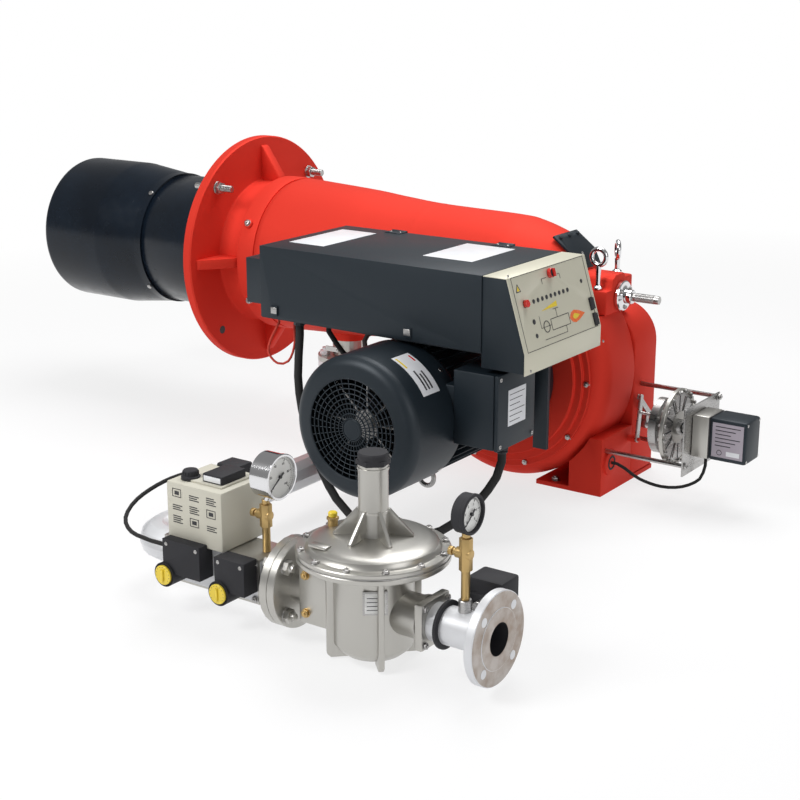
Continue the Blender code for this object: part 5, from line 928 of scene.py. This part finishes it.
@dataclass
class Motor:
    """Fan motor: ribbed housing, cowl with its perforated grille, and terminal box."""

    axis_x: float = FAN_X
    axis_z: float = FAN_Z
    grille_y: float = -.7985
    fins: int = 40

    def axis_point(self, y: float) -> Vector:
        """Return the point of the motor's axis at a depth."""
        return Vector((self.axis_x, y, self.axis_z))

    def build(self) -> None:
        """Build the motor."""
        self.build_housing()
        self.build_cowl()
        self.build_terminal_box()
        self.build_label()

    def build_housing(self) -> None:
        """Build the frame with its cooling fins, end bell and eye."""
        back = stand(self.axis_point(0), -Y)
        housing = Piece("motor_frame")
        housing.turned([(.14, .1768), (.16, .1768), (.1645, .181), (.165, .186), (.165, .205),
                        (.163, .212), (.153, .216), (.153, .59), (.163, .594), (.165, .598),
                        (.165, .606), (.1635, .6198), (.14, .6198)], back, BLACK, 112)
        for i in range(self.fins):
            place = spun(self.axis_point(0), 360 * i / self.fins, "Y")
            housing.block((.15, -.59, -.0016), (.1646, -.214, .0016), BLACK, .0009, place)
        for i, at in enumerate(on_circle(self.axis_point(-.212), -Y, .1575)):
            housing.rod(at, at - Y * .03, .0085, BLACK, 24, .001)
            housing.bolt(at - Y * .0295, -Y, .0078, STEEL, 17 * i)
        housing.ring((-.195, -.5, .098), Y, .021, .006, STEEL, 56, 16)
        housing.rod((-.195, -.5, .142), (-.195, -.5, .114), .0095, STEEL, 32, .001)
        housing.finish(ROOT, "motor_housing")

    def build_cowl(self) -> None:
        """Build the fan cowl with a grille of rings and bars."""
        cowl = Piece("fan_cowl_shell")
        back = stand(self.axis_point(0), -Y)
        rim = arc((.138, .768), .03, 0, 78, 12)
        cowl.turned([(.1685, .6083), (.168, .745), *rim, (.12, .8), (.118, .799),
                     (.118, .7965), *((r - .0018, h - .0018) for r, h in reversed(rim)),
                     (.1662, .745), (.1662, .6083)], back, BLACK, 128)
        for i in range(9):
            radius = .026 + .0115 * i
            cowl.ring(self.axis_point(self.grille_y), Y, radius, .0016, BLACK, 72, 8)
        for i in range(36):
            place = spun(self.axis_point(self.grille_y + .0016), 10 * i + 5, "Y")
            cowl.block((.022, -.001, -.001), (.1195, .001, .001), BLACK, 0.0, place)
        cowl.rod(self.axis_point(-.7945), self.axis_point(-.7998), .025, BLACK, 48, .002)
        cowl.turned([(.0125, 0), (.0165, .0008), (.0165, .0014), (0, .0014), (0, 0)],
                    stand(self.axis_point(-.7985), -Y), BLACK, 40)
        middle = self.axis_point(-.622)
        for at in on_circle(middle, -Y, .1676):
            out = (at - middle).normalized()
            cowl.rod(at, at + out * .0022, .006, STEEL, 24, .0008)
        cowl.finish(ROOT, "fan_cowl")

    def build_terminal_box(self) -> None:
        """Build the terminal box with its lid, gland and label."""
        box = Piece("terminal_box_shell")
        box.block((-.09, -.635, .262), (-.02, -.485, .385), BLACK, .004)
        box.block((-.0295, -.64, .25), (.078, -.48, .425), BLACK, .004)
        box.block((.0785, -.641, .249), (.09, -.479, .426), BLACK, .004)
        for y, z in ((-.63, .26), (-.49, .26), (-.63, .415), (-.49, .415)):
            box.rod((.0895, y, z), (.0915, y, z), .0048, STEEL, 24)
            box.block((.0912, y - .0035, z - .0006), (.0917, y + .0035, z + .0006), PRINT_AND_SHADE_BLACK, 0)
        box.block((.0895, -.598, .3), (.0906, -.522, .384), PAPER, .0003)
        for i in range(6):
            z = .372 - .0125 * i
            box.block((.0904, -.592, z), (.0909, -.528 - .01 * (i % 3), z + .0016), PRINT_AND_SHADE_BLACK, 0)
        box.rod((.047, -.55, .2515), (.047, -.55, .238), .017, PAPER, 40, .002)
        box.nut((.047, -.55, .2385), -Z, .015, .0125, PLASTIC, 10)
        box.rod((.047, -.55, .2265), (.047, -.55, .2176), .0138, PLASTIC, 40, .003)
        box.finish(ROOT, "terminal_box")

    def build_label(self) -> None:
        """Bend a plain film label round the cowl."""
        label = Piece("cowl_film_label")
        corners = [*arc((0, 0), .1688, 30, 70, 16), *arc((0, 0), .1676, 70, 30, 16)]
        place = Matrix.Translation(self.axis_point(0)) @ lay_xz()
        label.slab(corners, -.728, -.664, place, PAPER)
        for i, (finish, low, high) in enumerate((
            (YELLOW, 56, 68), (PRINT_AND_SHADE_BLACK, 34, 52), (PRINT_AND_SHADE_BLACK, 34, 48), (PRINT_AND_SHADE_BLACK, 34, 50), (SIGNAL_RED, 60, 67),
        )):
            band = [*arc((0, 0), .1691, low, high, 10), *arc((0, 0), .1686, high, low, 10)]
            label.slab(band, -.722 + .0115 * i, -.7165 + .0115 * i, place, finish)
        label.finish(ROOT)


@dataclass
class ControlCase:
    """Electrical box with its lid, latches and sloping control panel."""

    middle: Point = (.128, 0, .5635)
    slope: Point = (-.29325, 0, .95603)
    outward: Point = (.95603, 0, .29325)

    def on_panel(self, y: float, up: float, out: float = 0.0) -> Vector:
        """Return a point of the panel's face.

        Args:
            y: World Y.
            up: Distance up the slope from the panel's middle.
            out: Distance in front of the face.

        Returns:
            The point in the row frame.
        """
        return (Vector(self.middle) + Vector((0, y, 0)) + Vector(self.slope) * up
                + Vector(self.outward) * out)

    def plane(self, y: float, up: float, out: float = 0.0) -> Matrix:
        """Return the placement on the panel: local X along Y, local Y up the slope."""
        turn = Matrix((Vector((0, 1, 0)), Vector(self.slope), Vector(self.outward))).transposed()
        return Matrix.Translation(self.on_panel(y, up, out)) @ turn.to_4x4()

    def build(self) -> None:
        """Build the case."""
        self.build_base()
        self.build_lid()
        self.build_panel()
        self.build_controls()

    def build_base(self) -> None:
        """Build the case's base with its glands and side switch."""
        base = Piece("case_base")
        base.copied("box_base", BLACK, .0006)
        for x, y, radius in ((-.5, -.6, .015), (-.45, -.55, .0125)):
            base.nut((x, y, .46), -Z, radius, .004, PLASTIC)
        base.rod((-.614, -.59, .486), (-.614, -.59, .462), .004, GREY, 24)
        base.finish(ROOT, "box_base")

    def build_lid(self) -> None:
        """Build the lid with two blank labels, latches and hinges."""
        lid = Piece("case_lid")
        lid.copied("box_lid", BLACK, .0007)
        for low, high in (((-.56, -.56), (-.455, -.345)), ((-.195, -.52), (-.06, -.33))):
            lid.block((*low, .645), (*high, .646), PAPER, .0004)
        for x in (-.545, -.155):
            lid.block((x - .009, -.6437, .484), (x + .009, -.6405, .5), STEEL, .001)
        for x in (-.425, -.11):
            lid.block((x - .024, -.318, .645), (x + .024, -.29, .647), BLACK, .0007)
            for side in (-.014, .014):
                lid.rod((x + side, -.304, .6468), (x + side, -.304, .6484), .0038, STEEL, 20)
        lid.finish("lid", "box_lid")

    def build_panel(self) -> None:
        """Build the beige panel with its border and generic symbols."""
        panel = Piece("operator_panel")
        panel.copied("control_panel", PANEL, .0008)
        self.line(panel, (-.622, -.083), (-.303, -.083), .0012)
        self.line(panel, (-.622, .084), (-.303, .084), .0012)
        self.line(panel, (-.622, -.083), (-.622, .084), .0012)
        self.line(panel, (-.303, -.083), (-.303, .084), .0012)
        for i in range(9):
            self.dot(panel, -.552 + .0189 * i, .02, .0052, PRINT_AND_SHADE_BLACK)
        self.dot(panel, -.332, .029, .0048, PRINT_AND_SHADE_BLACK)
        self.dot(panel, -.5695, -.023, .006, PRINT_AND_SHADE_BLACK)
        self.dot(panel, -.571, -.0545, .0052, PRINT_AND_SHADE_BLACK)
        for a, b in (((-.612, .05), (-.594, .05)), ((-.612, .05), (-.603, .067)),
                     ((-.594, .05), (-.603, .067))):
            self.line(panel, a, b, .0016)
        panel.slab([(-.6085, .0518), (-.603, .063), (-.5975, .0518)], 0, .0004,
                   self.plane(0, 0), YELLOW)
        panel.slab([(-.53, -.006), (-.46, .006), (-.46, -.006)], 0, .0006,
                   self.plane(0, 0), YELLOW)
        panel.ring(self.on_panel(-.522, -.0425, .0003), Vector(self.outward), .0125, .001, PRINT_AND_SHADE_BLACK)
        burner = ((-.5, -.03), (-.42, -.03), (-.42, -.055), (-.5, -.055))
        for a, b in zip(burner, burner[1:] + burner[:1]):
            self.line(panel, a, b, .0014)
        for a, b in (((-.545, -.0425), (-.5, -.0425)), ((-.545, -.0425), (-.545, -.015)),
                     ((-.47, -.03), (-.47, -.01)), ((-.482, -.01), (-.458, -.01)),
                     ((-.44, -.055), (-.44, -.07)), ((-.54, -.07), (-.44, -.07)),
                     ((-.5, .05), (-.5, .062)), ((-.42, .05), (-.42, .062)),
                     ((-.5, .062), (-.478, .062)), ((-.444, .062), (-.42, .062))):
            self.line(panel, a, b, .0012)
        flame = [(-.418, -.0425), (-.408, -.0315), (-.394, -.028), (-.374, -.0325),
                 (-.348, -.0425), (-.374, -.0525), (-.394, -.057), (-.408, -.0535)]
        heart = [(-.394 + (y + .394) * .45, -.0425 + (up + .0425) * .45) for y, up in flame]
        panel.slab(flame, 0.0, .0007, self.plane(0, 0), SIGNAL_ORANGE)
        panel.slab(heart, 0.0, .0011, self.plane(0, 0), YELLOW)
        for y, up in ((-.629, -.122), (-.629, .09), (-.296, -.122), (-.296, .09)):
            self.dot(panel, y, up, .0034, STEEL)
        panel.finish(ROOT, "control_panel")

    def line(self, panel: Piece, a: tuple[float, float], b: tuple[float, float],
             width: float) -> None:
        """Print a straight line between two points of the panel."""
        start, along = Vector(a), Vector(b) - Vector(a)
        across = along.orthogonal().normalized() * width / 2
        corners = [start + across, start - across, start + along - across, start + along + across]
        panel.slab([tuple(c) for c in corners], 0.0, .0005, self.plane(0, 0), PRINT_AND_SHADE_BLACK)

    def dot(self, panel: Piece, y: float, up: float, radius: float, finish: Finish) -> None:
        """Add a round lamp or print to the panel."""
        panel.rod(self.on_panel(y, up, -.0005), self.on_panel(y, up, .0011), radius, finish, 28)

    def build_controls(self) -> None:
        """Build the selector, the reset button and the two rockers."""
        knob = Piece("selector_switch_knob")
        knob.turned([(0, .0007), (.011, .0007), (.011, .0085), (.01, .01), (0, .0102)],
                    self.plane(-.461, .069), SIGNAL_RED, 48)
        knob.block((-.0022, -.0095, .0095), (.0022, .0095, .0168), SIGNAL_RED, .0008,
                   self.plane(-.461, .069))
        knob.slab(arc((0, 0), .0098, 90, 270, 16), .01, .0106, self.plane(-.461, .069), PLASTIC)
        knob.finish("selector", "selector_knob")
        reset = Piece("reset_push_button")
        reset.turned([(0, .0005), (.0082, .0005), (.0085, .001), (.0085, .0078), (.0072, .0088),
                      (0, .009)], self.plane(-.588, .021), SIGNAL_RED, 40)
        reset.finish("reset", "reset_button")
        for i in (1, 2):
            copy_node(f"rocker_switch_{i}", f"rocker_{i}", f"rocker_{i}", PLASTIC, .0005)


@dataclass
class CamDrive:
    """Servo motor, adjustable cam, levers and the damper that they turn."""

    cam_y: float = -.045
    cam_z: float = .19
    screws: int = 16

    def build(self) -> None:
        """Build the drive."""
        self.build_cam()
        self.build_levers()
        self.build_servo()

    def build_cam(self) -> None:
        """Build the cam disc with its profile band, screws and inner spiral."""
        centre = Vector((0, self.cam_y, self.cam_z))
        cam = Piece("adjustable_cam")
        cam.copied("cam_disc", STEEL)
        place = stand(centre, X)
        cam.turned([(.0845, .2434), (.0965, .2434), (.097, .244), (.097, .2525),
                    (.0963, .2532), (.0845, .2532)], place, ALUMINIUM, 120)
        cam.turned([(.018, .244), (.04, .244), (.04, .253), (.018, .253)], place,
                   ALUMINIUM, 80)
        for at in on_circle(centre, X, .0905, 8, self.screws):
            cam.rod(at + X * .2385, at + X * .258, .003, STEEL, 18)
            cam.rod(at + X * .255, at + X * .2592, .005, STEEL, 24, .001)
            slot = at + X * .2592
            cam.block((slot.x, slot.y - .0042, slot.z - .0006),
                      (slot.x + .0003, slot.y + .0042, slot.z + .0006), PRINT_AND_SHADE_BLACK, 0)
        for i in range(12):
            place = spun(centre, 30 * i, "X")
            cam.block((.2516, -.0022, .043), (.2524, .0022, .081), PRINT_AND_SHADE_BLACK, 0, place)
        cam.rod(centre + X * .252, centre + X * .264, .0165, STEEL, 48, .0015)
        cam.bolt(centre + X * .2635, X, .0085, STEEL, 12)
        cam.finish("cam", "cam_disc")

    def build_levers(self) -> None:
        """Build the follower, the link and the damper with its crank."""
        for name, node, body, edge in (("follower_arm", "follower_lever", "follower", .0006),
                                       ("link_bar", "link_rod", "link", .0005),
                                       ("damper_and_crank", "air_damper", "air_flap", .0004)):
            copy_node(name, node, body, STEEL, edge)

    def build_servo(self) -> None:
        """Build the servo's plate, grey base and black cover."""
        plate = Piece("servo_mounting_plate")
        plate.copied("servo_plate", STEEL, .0007)
        for y, z in ((-.121, .1175), (.06, .105), (.062, .252)):
            plate.bolt((.306, y, z), X, .0085, STEEL, 10)
        plate.finish(ROOT, "servo_plate")
        servo = Piece("servo_motor_case")
        low_y, high_y, low_z, high_z = -.088, -.003, .135, .242
        servo.block((.3063, low_y, low_z), (.35, high_y, high_z), ALUMINIUM, .004)
        servo.block((.3495, low_y + .0015, low_z + .0015), (.3525, high_y - .0015, high_z - .0015),
                    PRINT_AND_SHADE_BLACK, .0004)
        servo.block((.352, low_y, low_z), (.4478, high_y, high_z), BLACK, .007)
        servo.block((.36, low_y - .0004, .146), (.44, low_y + .001, .232), LAVENDER, .0002)
        for i in range(6):
            z = .222 - .0095 * i
            servo.block((.368, low_y - .0008, z), (.432 - .012 * (i % 3), low_y, z + .0022),
                        PRINT_AND_SHADE_BLACK, 0)
        servo.ring((.38, low_y - .0004, .158), Y, .006, .0008, PRINT_AND_SHADE_BLACK, 28, 8)
        servo.block((.398, low_y - .0008, .152), (.432, low_y, .1635), PAPER, 0)
        servo.rod((.328, -.045, .136), (.328, -.045, .127), .0125, PLASTIC, 36, .002)
        servo.rod((.328, -.045, .1285), (.328, -.045, .1229), .0088, PLASTIC, 36, .003)
        for y, z in ((-.08, .143), (-.011, .143), (-.08, .234), (-.011, .234)):
            servo.rod((.4472, y, z), (.448, y, z), .004, STEEL, 20, .0003)
        servo.finish(ROOT, "servo_motor")


@dataclass
class GasTrain:
    """Inlet flange, regulator, valve with its actuator, pressure switches and pipe."""

    y: float = TRAIN_Y
    z: float = TRAIN_Z
    regulator_x: float = .16
    flange_radius: float = .0925
    bolt_circle: float = .0725
    bolt_radius: float = .0135

    def on_line(self, x: float) -> Vector:
        """Return the point of the train's axis at a distance along it."""
        return Vector((x, self.y, self.z))

    def build(self) -> None:
        """Build the train."""
        self.build_inlet()
        self.build_regulator()
        self.build_dome()
        self.build_valve()
        self.build_actuator()
        self.build_switches()
        self.build_pipe()

    def flange(self, piece: Piece, low: float, high: float, finish: Finish) -> None:
        """Add a flange plate across the line, with chamfered edges."""
        radius = self.flange_radius
        piece.turned([(0, low), (radius - .0015, low), (radius, low + .0015),
                      (radius, high - .0015), (radius - .0015, high), (0, high)],
                     stand(self.on_line(0), X), finish, 96)

    def build_inlet(self) -> None:
        """Build the inlet spool with its flange, clamp ring, tapping and switch."""
        inlet = Piece("inlet_flange_spool")
        line = stand(self.on_line(0), X)
        radius, bore = self.flange_radius, .0335
        inlet.turned([(bore, .3055), (.038, .3055), (.038, .396), (.04, .404), (.049, .418),
                      (.049, .4252), (radius - .0015, .4252), (radius, .4265), (radius, .442),
                      (radius - .0015, .4432), (.061, .4432), (.06, .4449), (bore, .4449)],
                     line, WHITE, 112)
        inlet.turned([(bore - .001, .444), (.0595, .444), (.0595, .445), (bore - .001, .445)],
                     line, RUSTY, 96)
        inlet.turned([(.058, .442), (radius - .0018, .442), (radius - .0018, .4437),
                      (.058, .4437)], line, RUSTY, 96)
        for at in on_circle(self.on_line(0), X, self.bolt_circle):
            inlet.rod(at + X * .4249, at + X * .4442, .0092, PAPER, 36, .0002)
        # Black lining and closing disc inside the bore: painted shade in the open pipe.
        inlet.turned([(0, .3062), (bore - .0002, .3062), (bore - .0002, .4446),
                      (bore - .0012, .4446), (bore - .0012, .3078), (0, .3078)], line, PRINT_AND_SHADE_BLACK, 72)
        inlet.turned([(.037, .327), (.0465, .327), (.048, .3285), (.048, .3335), (.0465, .335),
                      (.037, .335)], line, PLASTIC, 80)
        inlet.rod((.37, self.y, .135), (.37, self.y, .1678), .013, STEEL, 40, .0015)
        inlet.block((.338, -1.152, .095), (.417, -1.0872, .1898), PLASTIC, .006)
        inlet.rod((.3775, self.y + .03, .14), (.3775, -1.15, .14), .013, STEEL, 32, .001)
        inlet.block((.345, -1.1545, .106), (.41, -1.15, .16), PRINT_AND_SHADE_BLACK, .002)
        inlet.rod((.3775, -1.156, .133), (.3775, -1.153, .133), .018, GREY, 40, .001)
        inlet.finish(ROOT, "inlet_flange")

    def build_regulator(self) -> None:
        """Build the cast regulator body with its ribs, necks and blank plate."""
        body = Piece("regulator_casting")
        up = stand((self.regulator_x, self.y, 0), Z)
        body.turned([(0, .01), (.056, .01), (.06, .012), (.074, .024), (.0795, .032),
                     (.08, .038), (.08, .178), (.083, .188), (.09, .196), (.098, .2),
                     (.143, .2035), (.148, .2048), (.15, .207), (.15, .214), (.149, .2154),
                     (0, .2154)], up, ALUMINIUM, 128)
        for i in range(4):
            place = spun((self.regulator_x, self.y, 0), 45 + 90 * i, "Z") @ lay_xz((0, -.006, 0))
            body.slab([(.05, .002), (.086, .002), (.0935, .01), (.0935, .185), (.118, .203),
                       (.05, .203)], 0, .012, place, ALUMINIUM, .0022)
        line = stand(self.on_line(0), X)
        body.turned([(0, .205), (.043, .205), (.043, .268), (.0465, .278), (.0475, .2865),
                     (0, .2865)], line, ALUMINIUM, 72)
        body.block((.2865, self.y - .0475, self.z - .0475), (.305, self.y + .0475,
                   self.z + .0475), ALUMINIUM, .004)
        body.block((.009, self.y - .046, .046), (.1, self.y + .046, .164), ALUMINIUM, .006)
        body.turned([(0, -.02), (.041, -.02), (.041, .02), (0, .02)], line, ALUMINIUM, 72)
        self.flange(body, -.0348, -.0169, ALUMINIUM)
        for i, at in enumerate(on_circle(self.on_line(0), X, self.bolt_circle)):
            body.bolt(at - X * .0171, X, self.bolt_radius, STEEL, 13 * i)
        for y in (-.037, .037):
            for z in (-.037, .037):
                body.bolt((.3048, self.y + y, self.z + z), X, .0068, STEEL, 9)
        plate = spun((self.regulator_x, self.y, 0), -52, "Z")
        body.block((.0785, -.024, .118), (.0822, .024, .166), STEEL, .0006, plate)
        body.block((.082, -.02, .122), (.0826, .02, .162), DIAL_WHITE, .0002, plate)
        for i in range(4):
            body.block((.0824, -.016, .128 + .008 * i), (.0828, .012 - .006 * (i % 2),
                       .1295 + .008 * i), PRINT_AND_SHADE_BLACK, 0, plate)
        for z in (.07, .15):
            body.bolt((.028, self.y - .0455, z), -Y, .0085, BRASS, 14)
        body.finish(ROOT, "regulator_body")

    def build_dome(self) -> None:
        """Build the diaphragm cover with its gussets, spring tube and cap."""
        dome = Piece("regulator_cover")
        up = stand((self.regulator_x, self.y, 0), Z)
        dome.turned([(0, .394), (.029, .394), (.029, .262), (.0325, .2535),
                     (.05, .2512), (.06, .25), (.09, .2484), (.108, .246), (.12, .2424),
                     (.126, .238), (.129, .23), (.1325, .2272), (.1485, .2265),
                     (.15, .225), (.15, .219), (.1485, .2176), (0, .2176)], up,
                    ALUMINIUM, 128)
        for i in range(6):
            place = spun((self.regulator_x, self.y, 0), 30 + 60 * i, "Z") @ lay_xz((0, -.004, 0))
            dome.slab([(.024, .248), (.078, .248), (.078, .253), (.032, .305), (.024, .305)],
                      0, .008, place, ALUMINIUM, .0015)
        for i in range(12):
            angle = radians(15 + 30 * i)
            at = Vector((self.regulator_x + .1405 * cos(angle), self.y + .1405 * sin(angle),
                         .2264))
            dome.bolt(at, Z, .0072, STEEL, 31 * i)
        for z, radius in ((.3, .0305), (.386, .0308)):
            dome.turned([(.028, z - .003), (radius, z - .0022), (radius, z + .0022),
                         (.028, z + .003)], up, ALUMINIUM, 72)
        dome.nut((self.regulator_x, self.y, .3935), Z, .034, .01, PLASTIC, 12)
        dome.turned([(0, .402), (.0295, .402), (.0295, .414), (.0275, .4168), (0, .417)], up,
                    PLASTIC, 64)
        dome.rod((.062, self.y, .245), (.062, self.y, .26), .01, BRASS, 32, .001)
        dome.nut((.062, self.y, .259), Z, .0125, .007, BRASS, 8)
        dome.rod((.062, self.y, .265), (.062, self.y, .2758), .0092, YELLOW, 36, .002)
        dome.block((self.regulator_x - .072, self.y - .112, .2445), (self.regulator_x - .03,
                   self.y - .092, .2505), ALUMINIUM, .002)
        dome.finish(ROOT, "regulator_dome")

    def build_valve(self) -> None:
        """Build the valve body with its flange, neck and screws."""
        valve = Piece("gas_valve_casting")
        valve.copied("valve_body", ALUMINIUM)
        valve.block((-.3455, self.y - .0485, .0575), (-.0895, self.y + .0485, .1538), WHITE,
                    .006)
        self.flange(valve, -.053, -.035, ALUMINIUM)
        for i, at in enumerate(on_circle(self.on_line(0), X, self.bolt_circle)):
            valve.bolt(at - X * .0528, -X, self.bolt_radius, STEEL, 7 * i)
        for x in (-.335, -.1):
            for z in (.068, .144):
                valve.bolt((x, self.y - .0483, z), -Y, .0066, STEEL, x * 300)
        valve.turned([(.036, -.088), (.047, -.088), (.0475, -.086), (.0475, -.08),
                      (.036, -.078)], stand(self.on_line(0), X), STEEL, 72)
        valve.finish(ROOT, "valve_body")

    def build_actuator(self) -> None:
        """Build the cream actuator with its knob, printed signs and plug."""
        box = Piece("valve_actuator")
        front = -1.269
        box.block((-.32, front, .1545), (-.17, -1.13, .2828), CREAM, .006)
        box.block((-.3175, front + .0025, .18), (-.1725, -1.1325, .1812), PRINT_AND_SHADE_BLACK, .0003)
        box.block((-.3, -1.248, .282), (-.186, -1.15, .287), CREAM, .002)
        box.block((-.245, -1.24, .2835), (-.192, -1.165, .3048), PLASTIC, .003)
        box.block((-.241, -1.2405, .2895), (-.196, -1.2385, .301), PAPER, .0003)
        box.block((-.297, -1.14, .235), (-.239, -1.0882, .29), PLASTIC, .005)
        box.rod((-.268, -1.15, .262), (-.268, -1.128, .262), .021, GREY, 40, .002)
        box.rod((-.2962, -1.108, .258), (-.2972, -1.108, .258), .0095, PLASTIC, 32, .0004)
        for column in range(3):
            for row in range(3):
                x, z = -.302 + .046 * column, .252 - .028 * row
                self.sign(box, x, z, front, (column + row) % 3)
        box.finish(ROOT, "actuator")
        knob = Piece("flow_setting_knob")
        knob.turned([(0, .2834), (.02, .2834), (.02, .2895), (.0165, .292), (.016, .301),
                     (.0145, .303), (0, .3033)], stand((-.283, -1.233, 0), Z), PLASTIC, 56)
        for i in range(16):
            place = spun((-.283, -1.233, 0), 22.5 * i, "Z")
            knob.block((.015, -.001, .2925), (.0172, .001, .3005), PLASTIC, .0004, place)
        knob.finish("flow", "flow_knob")

    def sign(self, box: Piece, x: float, z: float, front: float, kind: int) -> None:
        """Print a small plain sign on the actuator's front.

        Args:
            box: Piece that takes it.
            x: Its left side.
            z: Its lower side.
            front: World Y of the face.
            kind: Which of three plain signs.
        """
        near, far = front - .0005, front + .001
        if kind == 0:
            for low, high in (((x, z), (x + .024, z + .0014)), ((x, z), (x + .0014, z + .018)),
                              ((x, z + .0166), (x + .024, z + .018)),
                              ((x + .0226, z), (x + .024, z + .018))):
                box.block((low[0], near, low[1]), (high[0], far, high[1]), PRINT_AND_SHADE_BLACK, 0)
            box.block((x + .006, near, z + .005), (x + .018, far, z + .013), PRINT_AND_SHADE_BLACK, 0)
        else:
            for i in range(2 + kind):
                box.block((x, near, z + .0045 * i), (x + .026 - .005 * (i % 2), far,
                          z + .002 + .0045 * i), PRINT_AND_SHADE_BLACK, 0)

    def build_switches(self) -> None:
        """Build the two pressure switches and their yellow dials."""
        for i, (low_x, high_x, high_z, dial_x, dial_z) in enumerate((
            (-.3125, -.212, .165, -.306, .088), (-.172, -.094, .157, -.158, .082),
        ), 1):
            switch = Piece(f"pressure_switch_case_{i}")
            switch.copied(f"pressure_switch_{i}", PLASTIC, .0012)
            switch.turned([(0, 0.0), (.0255, 0.0), (.0262, .001), (.0262, .006), (0, .006)],
                          stand((dial_x, -1.294, dial_z), -Y), PLASTIC, 64)
            for x in (low_x + .01, high_x - .01):
                switch.rod((x, -1.2935, high_z - .01), (x, -1.295, high_z - .01), .0042,
                           STEEL, 24)
            switch.finish(ROOT, f"pressure_switch_{i}")
            dial = Piece(f"pressure_dial_{i}")
            dial.turned([(0, .0003), (.021, .0003), (.021, .0036), (.02, .0043),
                         (0, .0043)], stand((dial_x, -1.3, dial_z), -Y), YELLOW, 64)
            dial.block((dial_x - .003, -1.3079, dial_z - .013), (dial_x + .003, -1.304,
                       dial_z + .013), YELLOW, .001)
            for k in range(11):
                at = around((dial_x, -1.3044, dial_z), Y, .0175, -125 + 25 * k)
                dial.rod(at, at - Y * .0002, .0008, PRINT_AND_SHADE_BLACK, 8, 0)
            dial.finish(f"dial_{i}", f"switch_dial_{i}")

    def build_pipe(self) -> None:
        """Build the bent pipe with its upper flange."""
        copy_node("gas_supply_pipe", "gas_pipe", ROOT, WHITE, .0006)


@dataclass(frozen=True)
class GaugeShape:
    """One pressure gauge: its foot, its dial and its finish."""

    foot_x: float
    foot_z: float
    face_x: float
    dial_z: float
    radius: float
    depth: float
    case: Finish
    figures: tuple[str, ...]


@dataclass
class Gauges:
    """Two pressure gauges on their cocks, their dials along the line."""

    y: float = TRAIN_Y
    recess: float = .008
    shapes: tuple[GaugeShape, ...] = (
        GaugeShape(-.108, .2563, -.063, .321, .0475, .05, CHROME,
                   ("0", "20", "40", "60", "80", "100")),
        GaugeShape(.37, .2903, .387, .338, .039, .029, PLASTIC, ("0", "1", "2", "3", "4", "5")),
    )

    def build(self) -> None:
        """Build both gauges."""
        for i, shape in enumerate(self.shapes, 1):
            copy_node(f"cock_and_stem_{i}", f"gauge_cock_{i}", ROOT, BRASS, .0005)
            copy_node(f"cock_push_button_{i}", f"cock_button_{i}", f"cock_{i}", BRASS, .0004)
            self.build_case(i, shape)

    def build_case(self, i: int, shape: GaugeShape) -> None:
        """Build a gauge's case with its stem, its dial print and its pointer.

        Args:
            i: Number of the gauge.
            shape: Its sizes.
        """
        case = Piece(f"gauge_{i}")
        r, depth, seat = shape.radius, shape.depth, self.recess
        centre = Vector((shape.face_x, self.y, shape.dial_z))
        place = stand(centre, -X)
        case.turned([(r - .0052, 0.0), (r - .0015, 0.0), (r, .0015), (r, .0065),
                     (r - .0012, .0078), (r - .0012, depth - .0035), (r - .0045, depth - .0002),
                     (0, depth), (0, seat), (r - .0058, seat), (r - .0058, .0012)], place,
                    shape.case, 112)
        case.turned([(0, seat - .0004), (r - .0056, seat - .0004), (r - .0056, seat),
                     (0, seat)], place, DIAL_WHITE, 96)
        foot = Vector((shape.foot_x, self.y, shape.foot_z))
        top = centre - X * (.65 * depth) - Z * (.85 * r)
        case.rod(foot, foot + Z * .01, .008, BRASS, 32, .001)
        case.rod(foot + Z * .006, top, .0065, shape.case, 32)
        face = centre - X * (seat - .0007)
        for k in range(51):
            turn = -135 + 5.4 * k
            long = k % 10 == 0
            inner = r - (.015 if long else .0115)
            a, b = around(face, -X, inner, turn), around(face, -X, r - .0085, turn)
            case.rod(a, b, .0006 if long else .0003, PRINT_AND_SHADE_BLACK, 5, 0)
        for k, figure in enumerate(shape.figures):
            at = around(face, -X, r - .0205, -135 + 54 * k)
            case.words(figure, .0072, lay_yz(at), PRINT_AND_SHADE_BLACK, .0001)
        case.finish(ROOT, f"gauge_case_{i}")
        copy_node(f"gauge_hand_{i}", f"gauge_pointer_{i}", f"pointer_{i}", PRINT_AND_SHADE_BLACK)


DRESSED_NODES: dict[Finish, tuple[str, ...]] = {
    STEEL: ("gas_distributor", "flame_disc", "motor_shaft", "gas_butterfly", "regulator_diaphragm"),
    ALUMINIUM: ("impeller", "butterfly_body"),
}


def dress_frame() -> None:
    """Give each frame node that still shows its detailed finish."""
    for finish, names in DRESSED_NODES.items():
        for name in names:
            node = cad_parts[name]
            for place in node.material_slots:
                place.material = finish.material()
            log.info("%s: dressed in %s", name, finish.name)


def main() -> None:
    """Build the stage and each sub-assembly, and dress what the frame still shows."""
    Studio().build()
    Cords().build()
    BlastHead().build()
    CastBody().build()
    Motor().build()
    ControlCase().build()
    CamDrive().build()
    GasTrain().build()
    Gauges().build()
    dress_frame()


if __name__ == "__main__":
    logging.basicConfig(level=logging.INFO, format="%(message)s")
    main()
